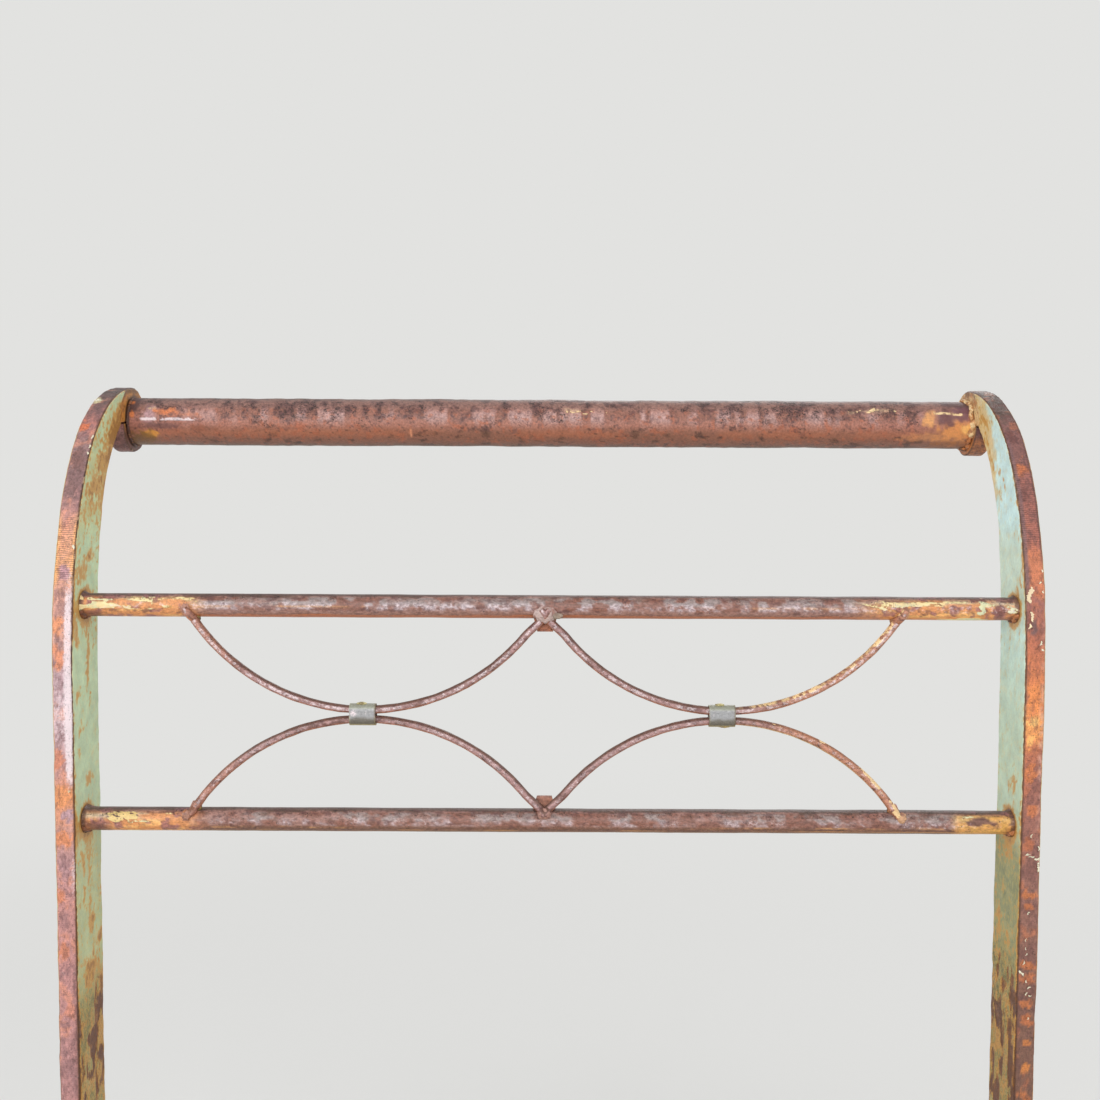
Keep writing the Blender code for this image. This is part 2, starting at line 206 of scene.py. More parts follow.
def soft(value, low, high):
    """Rises smoothly from 0 at low to 1 at high, or falls where high is below low."""
    t = np.clip((value - low) / (high - low), 0, 1)
    return t * t * (3 - 2 * t)


def between(value, start, full, fade, end):
    """Rises from 0 at start to 1 at full, and falls again from fade to 0 at end."""
    return soft(value, start, full) * soft(value, end, fade)


def hump(value, centre, width):
    """1 at the centre, and falls away smoothly on both sides within about this width."""
    return np.exp(-(((value - centre) / width) ** 2))


def unit(vectors):
    length = np.linalg.norm(vectors, axis=-1, keepdims=True)
    return vectors / np.maximum(length, 1e-12)


class Coat:
    """Colour of each point of a surface, laid on in layers."""

    def __init__(self, count, colour):
        self.colour = np.tile(np.array(colour, float), (count, 1))

    def lay(self, colour, amount):
        amount = np.clip(amount, 0, 1)
        self.colour += (np.array(colour, float) - self.colour) * np.asarray(amount)[:, None]

    def shade(self, factor):
        self.colour *= np.asarray(factor)[:, None]

    def linear(self):
        value = np.clip(self.colour, 0, 1)
        return np.where(value <= 0.04045, value / 12.92, ((value + 0.055) / 1.055) ** 2.4)


class Finish:
    """Everything that a surface's material needs to know, point by point."""

    def __init__(self, sweep, rust, paint):
        count = len(sweep.points)
        self.rust = Coat(count, rust)
        self.paint = Coat(count, paint)
        self.left, self.stain, self.wax = (np.full(count, level) for level in (-1.0, -1.0, 0.5))
        self.pits, self.hatch, self.clean, self.glint, self.height = np.zeros((5, count))
        self.run = sweep.along


def bezier(start, first, second, end, t):
    t = t[:, None]
    points = (1 - t) ** 3 * start + 3 * (1 - t) ** 2 * t * first
    return points + 3 * (1 - t) * t ** 2 * second + t ** 3 * end


def post_sections():
    """Front and rear points of the side bar's sections from foot to curl, and where the curl starts."""
    up = np.array([math.sin(RECLINE), math.cos(RECLINE)])
    rear = np.array([math.cos(RECLINE), -math.sin(RECLINE)])
    axis = AXIS[1:]
    start = axis - np.array([CROOK_REACH, CROOK_DROP])
    corner = start + up * (LEG_BEND_HEIGHT - start[1]) / up[1]
    centre = corner + LEG_BEND_RADIUS * (math.tan((RECLINE + LEG_RAKE) / 2) * up + rear)
    angles = np.linspace(LEG_RAKE, -RECLINE, 26)
    ways = np.stack([np.cos(angles), np.sin(angles)], axis=1)
    bends = [centre - LEG_BEND_RADIUS * ways, centre - (LEG_BEND_RADIUS - BAR_WIDTH) * ways]
    legs = []
    for bend in bends:
        foot = np.array([bend[0][0] + bend[0][1] * math.tan(LEG_RAKE), 0.0])
        legs.append(np.linspace(foot, bend[0], 110)[:-1])
    heights = np.concatenate([np.linspace(0, 0.44, 60)[:-1], np.linspace(0.44, 1, 180)])[1:, None]
    starts = (start, start + BAR_WIDTH * rear)
    straights = [bend[-1] + (top - bend[-1]) * heights for bend, top in zip(bends, starts)]
    crest = np.array([axis[0], axis[1] + EYE_CREST_RADIUS])
    level = np.array([1.0, 0.0])
    front_curve = (start, start + CROOK_FRONT_HANDLES[0] * up, crest - CROOK_FRONT_HANDLES[1] * level, crest)
    notch = axis - (EYE_TIP_RADIUS + NOTCH_WIDTH) * level
    end_way = np.array([math.sin(CROOK_BACK_END_ANGLE), math.cos(CROOK_BACK_END_ANGLE)])
    back_curve = (starts[1], starts[1] + CROOK_BACK_HANDLES[0] * up,
                  notch - CROOK_BACK_HANDLES[1] * end_way, notch)
    rise = np.linspace(0, 1, 150)[1:]
    crook_front, crook_back = bezier(*front_curve, 0.9 * rise), bezier(*back_curve, rise)
    neck = np.linspace(0, 1, 16)[1:]
    neck_front = bezier(*front_curve, 0.9 + 0.1 * neck)
    neck_back = notch + (axis - notch) * neck[:, None]
    turn = np.linspace(0, CURL_TURN, 80)[1:]
    radius = EYE_CREST_RADIUS + (EYE_TIP_RADIUS - EYE_CREST_RADIUS) * turn / EYE_TURN
    curl = axis + radius[:, None] * np.stack([np.sin(turn), np.cos(turn)], axis=1)
    front = np.vstack([legs[0], bends[0], straights[0], crook_front, neck_front, curl])
    back = np.vstack([legs[1], bends[1], straights[1], crook_back, neck_back, np.tile(axis, (len(turn), 1))])
    return front, back, len(front) - len(turn) - 1


def bar_outline(on_face, on_edge, on_corner):
    """Ring of a rounded bar: for each point its shares of width, arris, half thickness and arris again."""
    rows = []
    quarter = np.linspace(0, math.pi / 2, on_corner + 2)[1:-1]
    sides = ((1, 1, 0, 1), (1, -1, 1, 0), (-1, -1, 0, -1), (-1, 1, -1, 0))
    for number, (end, face, out_edge, out_face) in enumerate(sides):
        start = 0 if number < 2 else 1
        for t in np.linspace(start, 1 - start, on_edge if out_edge else on_face):
            if out_edge:
                rows.append(((1 + out_edge) / 2, 0, 1 - 2 * t, 2 * t - 1, out_edge, 0))
            else:
                rows.append((t, 1 - 2 * t, out_face, 0, 0, out_face))
        for a in quarter:
            s, c = math.sin(a), math.cos(a)
            u, v = ((s, c), (c, -s), (-s, -c), (-c, s))[number]
            rows.append(((1 + end) / 2, u - end, face, v - face, u, v))
    return np.array(rows)


class Sweep:
    """Grid of points, sections by points round each, with what a finish needs to know of them."""

    def __init__(self, grid, along, across=None, facing=None):
        self.shape = grid.shape[:2]
        self.grid = grid
        self.points = grid.reshape(-1, 3)
        self.across = across
        self.facing = facing
        self.along = along
        self.alias = None

    def numbers(self):
        """Number of each point, laid out as the grid is."""
        return np.arange(len(self.points)).reshape(self.shape)

    def normals(self):
        along = np.gradient(self.grid, axis=0)
        around = np.roll(self.grid, -1, axis=1) - np.roll(self.grid, 1, axis=1)
        ways = unit(np.cross(around, along))
        centre = self.grid.mean(axis=1, keepdims=True)
        if np.sum((self.grid - centre) * ways) < 0:
            ways = -ways
        return ways.reshape(-1, 3)


def sweep_bar(front, back, inward, thickness, arris, counts):
    """Bar whose sections run from front to back points, with its thickness along inward."""
    outline = bar_outline(*counts)
    reach = back - front
    width = np.linalg.norm(reach, axis=1)[:, None]
    way = unit(reach)
    arris = np.minimum(arris, 0.3 * width)
    u = outline[:, 0] * width + outline[:, 1] * arris
    v = outline[:, 2] * thickness / 2 + outline[:, 3] * arris
    grid = front[:, None] + way[:, None] * u[..., None] + np.asarray(inward) * v[..., None]
    steps = np.linalg.norm(np.diff(front, axis=0), axis=1)
    along = np.concatenate([[0], np.cumsum(steps)])
    count = len(outline)
    return Sweep(grid, across=(u / np.maximum(width, 1e-9)).ravel(),
                 facing=np.tile(outline[:, 4:6], (len(front), 1)),
                 along=np.repeat(along, count))


def sweep_rod(centres, radii, side_way, sides):
    """Round rod along the centres. Angle 0 is side_way, and the ring turns on from there."""
    tangent = unit(np.gradient(centres, axis=0))
    first = np.asarray(side_way, float)
    first = unit(first - tangent * np.sum(tangent * first, axis=1, keepdims=True))
    second = np.cross(tangent, first)
    turn = np.linspace(0, 2 * math.pi, sides + 1)[:-1]
    ring = np.cos(turn)[None, :, None] * first[:, None] + np.sin(turn)[None, :, None] * second[:, None]
    grid = centres[:, None] + ring * np.asarray(radii).reshape(-1, 1, 1)
    steps = np.linalg.norm(np.diff(centres, axis=0), axis=1)
    along = np.concatenate([[0], np.cumsum(steps)])
    return Sweep(grid, along=np.repeat(along, sides))


def faces_of(sweep):
    """Faces over the grid, with both ends closed by a fan round an added middle point."""
    sections, around = sweep.shape
    index = sweep.numbers() if sweep.alias is None else sweep.alias.reshape(sweep.shape)
    ahead = np.roll(index, -1, axis=1)
    quads = np.stack([index[:-1], ahead[:-1], ahead[1:], index[1:]], axis=-1).reshape(-1, 4)
    count = sections * around
    faces = []
    for quad in quads.tolist():
        face = [v for k, v in enumerate(quad) if v != quad[k - 1]]
        if len(face) > 2 and len(set(face)) == len(face):
            faces.append(face)
    for middle, row, flip in ((count, 0, False), (count + 1, sections - 1, True)):
        for a, b in zip(index[row].tolist(), ahead[row].tolist()):
            if a != b:
                faces.append([middle, b, a] if not flip else [middle, a, b])
    return faces


def outward(points, faces):
    """The faces of a closed shape, all turned so that they look out of it."""
    corners = np.array([(f[0], f[k], f[k + 1]) for f in faces for k in range(1, len(f) - 1)])
    a, b, c = (points[corners[:, k]] - points.mean(axis=0) for k in range(3))
    if np.sum(np.cross(a, b) * c) < 0:
        return [face[::-1] for face in faces]
    return faces


def add_mesh(name, points, faces, values, material):
    """Mesh object with the point values that its material reads."""
    used = np.unique(np.concatenate([np.array(face) for face in faces]))
    if len(used) < len(points):
        place = np.full(len(points), -1)
        place[used] = np.arange(len(used))
        faces = [[int(place[v]) for v in face] for face in faces]
        points = points[used]
        values = {key: value[used] for key, value in values.items()}
    faces = outward(points, faces)
    mesh = bpy.data.meshes.new(name)
    mesh.from_pydata(points.tolist(), [], faces)
    for key, value in values.items():
        if value.ndim == 2:
            layer = mesh.attributes.new(key, "FLOAT_COLOR", "POINT")
            full = np.concatenate([value, np.ones((len(value), 1))], axis=1)
            layer.data.foreach_set("color", full.astype(np.float32).ravel())
        else:
            layer = mesh.attributes.new(key, "FLOAT", "POINT")
            layer.data.foreach_set("value", value.astype(np.float32))
    mesh.shade_smooth()
    mesh.set_sharp_from_angle(angle=SHARP_ANGLE)
    mesh.materials.append(material)
    mesh.update()
    made = bpy.data.objects.new(name, mesh)
    bpy.context.scene.collection.objects.link(made)
    return made


def values_of(finish):
    return {
        "rust_colour": finish.rust.linear(),
        "paint_colour": finish.paint.linear(),
        "paint_left": finish.left,
        "stain": finish.stain,
        "pitting": finish.pits,
        "hatch": finish.hatch,
        "clean": np.clip(finish.clean, 0, 1),
        "run": finish.run,
        "glint": np.clip(finish.glint, 0, 1),
        "wax": finish.wax,
    }


def with_middles(sweep, array):
    """Adds the means of the first and the last section, for the middles of the end faces."""
    grid = array.reshape(sweep.shape + array.shape[1:])
    return np.concatenate([array, grid[0].mean(axis=0)[None], grid[-1].mean(axis=0)[None]])


def settle(made, slot, *nodes):
    """Says which body a piece is on and hides the CAD nodes that it stands for; slot is not used."""
    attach(made, "root")
    if nodes:
        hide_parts(*nodes)
    return made


def dress(name, sweep, finish, slot, *nodes):
    """Turns a sweep and its finish into a piece that stands for the CAD nodes."""
    moved = sweep.points + sweep.normals() * finish.height[:, None]
    points = with_middles(sweep, moved)
    values = {key: with_middles(sweep, value) for key, value in values_of(finish).items()}
    faces = faces_of(sweep)
    return settle(add_mesh(name, points, faces, values, finish_material(slot)), slot, *nodes)


class Nodes:
    """Short way to lay out the nodes of a material or of the world."""

    def __init__(self, owner):
        owner.use_nodes = True
        self.tree = owner.node_tree
        self.shader = self.tree.nodes.get("Principled BSDF")
        self.coordinates = self.add("ShaderNodeTexCoord").outputs["Object"]

    def add(self, kind, **settings):
        node = self.tree.nodes.new(kind)
        for key, value in settings.items():
            setattr(node, key, value)
        return node

    def feed(self, socket, value):
        if isinstance(value, bpy.types.NodeSocket):
            self.tree.links.new(value, socket)
        elif isinstance(value, tuple) and len(value) == 3 and socket.type == "RGBA":
            socket.default_value = (*value, 1)
        else:
            socket.default_value = value

    def math(self, operation, first, second=0.0, third=0.0):
        node = self.add("ShaderNodeMath", operation=operation)
        for socket, value in zip(node.inputs, (first, second, third)):
            self.feed(socket, value)
        return node.outputs[0]

    def scaled(self, value, factor, added=0.0):
        return self.math("MULTIPLY_ADD", value, factor, added)

    def attribute(self, name, output="Fac"):
        return self.add("ShaderNodeAttribute", attribute_name=name).outputs[output]

    def ramp(self, value, low, high, start=0.0, end=1.0):
        node = self.add("ShaderNodeMapRange", interpolation_type="SMOOTHSTEP")
        for key, item in (("Value", value), ("From Min", low), ("From Max", high),
                          ("To Min", start), ("To Max", end)):
            self.feed(node.inputs[key], item)
        return node.outputs[0]

    def mix(self, amount, first, second, blend="MIX"):
        node = self.add("ShaderNodeMix", data_type="RGBA", blend_type=blend)
        self.feed(node.inputs["Factor"], amount)
        self.feed(node.inputs[6], first)
        self.feed(node.inputs[7], second)
        return node.outputs[2]

    def grain(self, scale, detail=4.0, rough=0.6, stretch=None):
        vector = self.coordinates
        if stretch:
            node = self.add("ShaderNodeMapping")
            self.feed(node.inputs["Vector"], vector)
            node.inputs["Scale"].default_value = stretch
            vector = node.outputs[0]
        node = self.add("ShaderNodeTexNoise")
        self.feed(node.inputs["Vector"], vector)
        node.inputs["Scale"].default_value = scale
        node.inputs["Detail"].default_value = detail
        node.inputs["Roughness"].default_value = rough
        return node.outputs[0]


def weathered(name, rim, shadow, roughness, stretch=None, metallic=0.0):
    """Material that turns a surface's point values into rust, pits, stains, chipped paint and painted
    highlights.
    """
    material = bpy.data.materials.new(name)
    n = Nodes(material)
    fine = n.grain(850, 6, 0.7, stretch)
    mid = n.grain(330, 5, 0.64, stretch)
    broad = n.grain(120, 3, 0.55)
    grit = n.grain(1150, 3, 0.8)
    ragged = n.scaled(fine, 1.8, n.scaled(mid, 1.4, -1.6))
    level = n.math("ADD", n.attribute("paint_left"), ragged)
    painted = n.ramp(level, -0.06, 0.06)
    pitting = n.attribute("pitting")
    rough_part = n.scaled(n.attribute("clean"), -0.8, 1.0)
    bare = n.attribute("rust_colour", "Color")
    rust = n.mix(rough_part, bare, n.ramp(fine, 0.3, 0.7, 0.66, 1.34), "MULTIPLY")
    mottled = n.ramp(n.scaled(pitting, 0.16, mid), 0.56, 0.68, 0.0, 0.62)
    rust = n.mix(n.scaled(mottled, rough_part), rust, shadow)
    halo = n.scaled(n.ramp(level, -0.30, -0.02), 0.5)
    rust = n.mix(halo, rust, rim)
    paint = n.mix(1.0, n.attribute("paint_colour", "Color"), n.ramp(broad, 0.25, 0.75, 0.88, 1.1), "MULTIPLY")
    paint = n.mix(1.0, paint, n.ramp(fine, 0.3, 0.7, 0.9, 1.08), "MULTIPLY")
    stained = n.scaled(ragged, 1.6, n.attribute("stain"))
    paint = n.mix(n.ramp(stained, -0.75, 0.15, 0.0, 0.35), paint, linear(rgb(206, 186, 104)))
    paint = n.mix(n.ramp(stained, -0.15, 0.5, 0.0, 0.85), paint, linear(rgb(198, 140, 60)))
    paint = n.mix(n.ramp(stained, 0.8, 1.8, 0.0, 0.65), paint, linear(rgb(134, 84, 36)))
    colour = n.mix(painted, rust, paint)
    sway = n.scaled(broad, 16)
    phase = n.scaled(n.attribute("run"), 2 * math.pi / HATCH_PITCH, sway)
    lines = n.scaled(fine, 1.6, n.math("SINE", phase))
    hatch = n.ramp(lines, 0.1, 1.7)
    hatched = n.mix(1.0, colour, n.ramp(lines, 0.0, 1.7, 0.70, 1.20), "MULTIPLY")
    colour = n.mix(n.attribute("hatch"), colour, hatched)
    # Painted highlight: where the point's painted glint is high, the colour turns pale lilac white, broken up
    # by grain.
    sparkle = n.scaled(grit, 1.5, n.scaled(fine, 1.3, -1.4))
    bright = n.ramp(n.math("ADD", n.attribute("glint"), sparkle), 0.30, 0.95, 0.0, 0.82)
    bright = n.scaled(bright, n.ramp(n.attribute("glint"), 0.02, 0.35))
    colour = n.mix(bright, colour, linear(rgb(238, 222, 226)))
    speck = n.ramp(n.scaled(pitting, 0.26, grit), 0.655, 0.72, 0.0, 0.85)
    speck = n.scaled(speck, rough_part)
    colour = n.mix(speck, colour, (0.014, 0.009, 0.008))
    n.feed(n.shader.inputs["Base Color"], colour)
    dull = n.scaled(fine, 0.3, roughness - 0.07)
    dull = n.scaled(n.attribute("wax"), -0.16, dull)
    n.feed(n.shader.inputs["Roughness"], n.scaled(speck, 0.2, dull))
    n.shader.inputs["Metallic"].default_value = metallic
    n.shader.inputs["Specular IOR Level"].default_value = 0.42
    relief = n.scaled(painted, 0.5, n.scaled(fine, 1.2))
    relief = n.scaled(speck, -0.8, relief)
    relief = n.scaled(n.scaled(hatch, n.attribute("hatch")), 0.5, relief)
    bump = n.add("ShaderNodeBump")
    bump.inputs["Strength"].default_value = 0.6
    bump.inputs["Distance"].default_value = 0.0004
    n.feed(bump.inputs["Height"], relief)
    n.feed(n.shader.inputs["Normal"], bump.outputs[0])
    material.diffuse_color = (*shadow, 1)
    return material


def linear(colour):
    """One screen colour as the light it stands for."""
    return tuple(float(v) for v in Coat(1, colour).linear()[0])


def finish_material(name):
    """The chair's five finishes, each made when it is first asked for."""
    if name in bpy.data.materials and bpy.data.materials[name].get("dressed"):
        return bpy.data.materials[name]
    rusts = bpy.context.scene.chair_rust
    rim, shadow = linear(rusts.ochre), linear(rusts.plum)
    if name in bpy.data.materials:
        bpy.data.materials[name].name = name + "_cad"
    kinds = {
        "side_bar_paint": dict(roughness=0.46, stretch=(1.0, 1.0, 0.5)),
        "seat_paint": dict(roughness=0.52),
        "tube_rust": dict(roughness=0.42),
        "rod_rust": dict(roughness=0.40, stretch=(0.6, 1.0, 1.0)),
        "clip_metal": dict(roughness=0.40, metallic=0.25),
    }
    made = weathered(name, rim, shadow, **kinds[name])
    made["dressed"] = True
    return made


def relief(points, seed, wear, scale=1.0):
    """Height of the dents and crusts of bare metal."""
    dents = noise(points, 0.021, seed, 2) * wear.dent_depth
    crust = noise(points, 0.0042, seed + 1, 3) * wear.scale_depth
    return (dents + crust) * scale


def blot(across, along, centre, reach, ragged=0.0):
    """Above 0 inside an oval patch, 1 at its middle, with a ragged edge."""
    distance = np.hypot((across - centre[0]) / reach[0], (along - centre[1]) / reach[1])
    return 1 - distance + ragged


def graded(value, stops):
    """Colour at each value, blended between stops of a value and an 8-bit colour."""
    places, tones = zip(*stops)
    channels = (np.interp(value, places, [tone / 255 for tone in channel]) for channel in zip(*tones))
    return np.stack(list(channels), axis=1)


# Tones of the side bars' front edges by height in millimetres
EDGE_TONES = {
    "left": (
        (530, (176, 128, 126)), (600, (186, 134, 130)), (632, (190, 136, 130)), (650, (176, 134, 136)),
        (668, (196, 144, 130)), (684, (216, 146, 108)), (700, (204, 150, 140)), (716, (200, 166, 170)),
        (745, (188, 158, 164)), (765, (210, 154, 134)), (788, (204, 148, 132)), (796, (222, 160, 116)),
        (818, (210, 152, 124)), (826, (182, 130, 122)), (842, (140, 108, 106)), (860, (150, 118, 116)),
        (871, (186, 122, 112)), (877, (132, 94, 90)), (888, (84, 66, 62))),
    "right": (
        (530, (118, 84, 70)), (590, (130, 92, 78)), (640, (144, 100, 88)), (690, (154, 100, 86)),
        (708, (170, 104, 78)), (722, (212, 134, 80)), (745, (190, 114, 74)), (768, (172, 102, 78)),
        (786, (150, 96, 88)), (794, (194, 116, 80)), (806, (194, 118, 84)), (816, (166, 100, 84)),
        (845, (156, 96, 84)), (860, (130, 88, 82)), (872, (138, 94, 88)), (880, (92, 70, 62)),
        (890, (76, 60, 52))),
}
# Patches on the front edges: height and half height in millimetres, place across from -1 to 1, colour
EDGE_PATCHES = {
    "left": (
        (883, 1.6, -0.6, 0.5, (226, 214, 168)), (869.5, 2.4, -0.5, 0.6, (206, 112, 74)),
        (853, 5, 0.1, 0.7, (122, 88, 84)), (840, 6, -0.2, 0.8, (126, 94, 92)),
        (797, 4, 0, 0.5, (186, 140, 152)), (772, 4, -0.6, 0.7, (226, 146, 102)),
        (757, 5, -0.5, 0.6, (224, 142, 104)), (704, 5, -0.6, 0.7, (204, 128, 98)),
        (686, 5, 0, 0.9, (222, 146, 94)), (676, 3, 0.5, 0.6, (176, 144, 156)),
        (664, 4, -0.2, 0.8, (216, 136, 92)), (634, 3.5, -0.6, 0.5, (208, 130, 96)),
        (606, 3, -0.4, 0.5, (206, 130, 100)), (575, 4, 0.2, 0.5, (204, 134, 112))),
    "right": (
        (850, 2, 0, 0.8, (196, 112, 68)), (838, 3, 0.3, 0.6, (112, 68, 62)),
        (866, 3, 0.4, 0.6, (106, 66, 62)), (774, 3.4, 0.1, 0.35, (104, 78, 78)),
        (722, 7, 0.0, 1.0, (226, 152, 88)), (726, 2.2, 0.1, 0.5, (246, 192, 118)),
        (716, 2.4, 0.35, 0.4, (238, 176, 104)), (738, 6, -0.1, 0.8, (214, 132, 76)),
        (700, 4, 0.2, 0.6, (196, 116, 70)), (681, 3, 0, 0.6, (190, 112, 70)),
        (664, 3, 0.3, 0.5, (176, 104, 72)), (637, 2.2, 0.1, 0.7, (196, 116, 70)),
        (631, 1.8, 0.2, 0.6, (186, 108, 66)), (601, 2.2, 0.1, 0.7, (188, 110, 66)),
        (594, 2, 0, 0.7, (184, 108, 68)), (581, 2.2, 0.1, 0.7, (190, 112, 66)),
        (572, 2.2, 0, 0.7, (188, 110, 68)), (560, 2, 0, 0.6, (204, 124, 66)),
        (547, 1.8, 0, 0.6, (210, 130, 66)), (533, 2.2, 0, 0.7, (190, 112, 64))),
}
# Stains on the inner faces: height and half height in millimetres, place across and half width as
# shares of the width, and strength
FACE_STAINS = {
    "left": (
        (866, 12, 0.92, 0.5, 1.2), (851, 7, 0.72, 0.4, 1.0), (838, 5, 0.5, 0.35, 1.3),
        (827, 6, 0.45, 0.5, 0.6), (803, 3, 0.6, 0.2, 0.9), (797, 7, 0.3, 0.35, 1.1),
        (765, 6, 0.15, 0.06, 1.1), (754, 8, 0.6, 0.05, 1.1), (742, 7, 0.56, 0.06, 1.2),
        (736, 4, 0.2, 0.12, 0.9), (729, 5, 0.62, 0.05, 1.1), (717, 4, 0.25, 0.1, 1.0),
        (706, 3, 0.2, 0.1, 0.8), (689, 4, 0.55, 0.16, 1.3), (647, 6, 0.3, 0.05, 1.0),
        (640, 8, 0.5, 0.05, 0.8), (629, 6, 0.3, 0.05, 1.3), (624, 7, 0.5, 0.06, 0.9),
        (613, 7, 0.55, 0.1, 1.2), (600, 3, 0.9, 0.06, 1.6), (588, 6, 0.5, 0.25, 1.3),
        (570, 9, 0.9, 0.16, 1.5)),
    "right": (
        (872, 5, 0.5, 0.16, 0.4), (862, 9, 0.9, 0.2, 0.3), (853, 9, 0.8, 0.1, 0.5),
        (847, 2, 0.6, 0.1, 1.4), (847, 1.4, 0.75, 0.06, 1.2), (844, 2, 0.45, 0.07, 0.9),
        (840, 2, 0.42, 0.06, 0.9), (835, 4, 0.7, 0.1, 0.8), (835, 2.5, 0.25, 0.07, 0.9),
        (821, 3, 0.75, 0.07, 0.8), (819, 5, 0.2, 0.07, 0.8), (805, 14, 0.04, 0.07, 1.1),
        (794, 5, 0.3, 0.13, 1.0), (690, 5, 0.4, 0.14, 1.1), (655, 7, 0.5, 0.25, 0.7),
        (612, 8, 0.75, 0.1, 0.8), (606, 6, 0.4, 0.1, 0.9)),
}


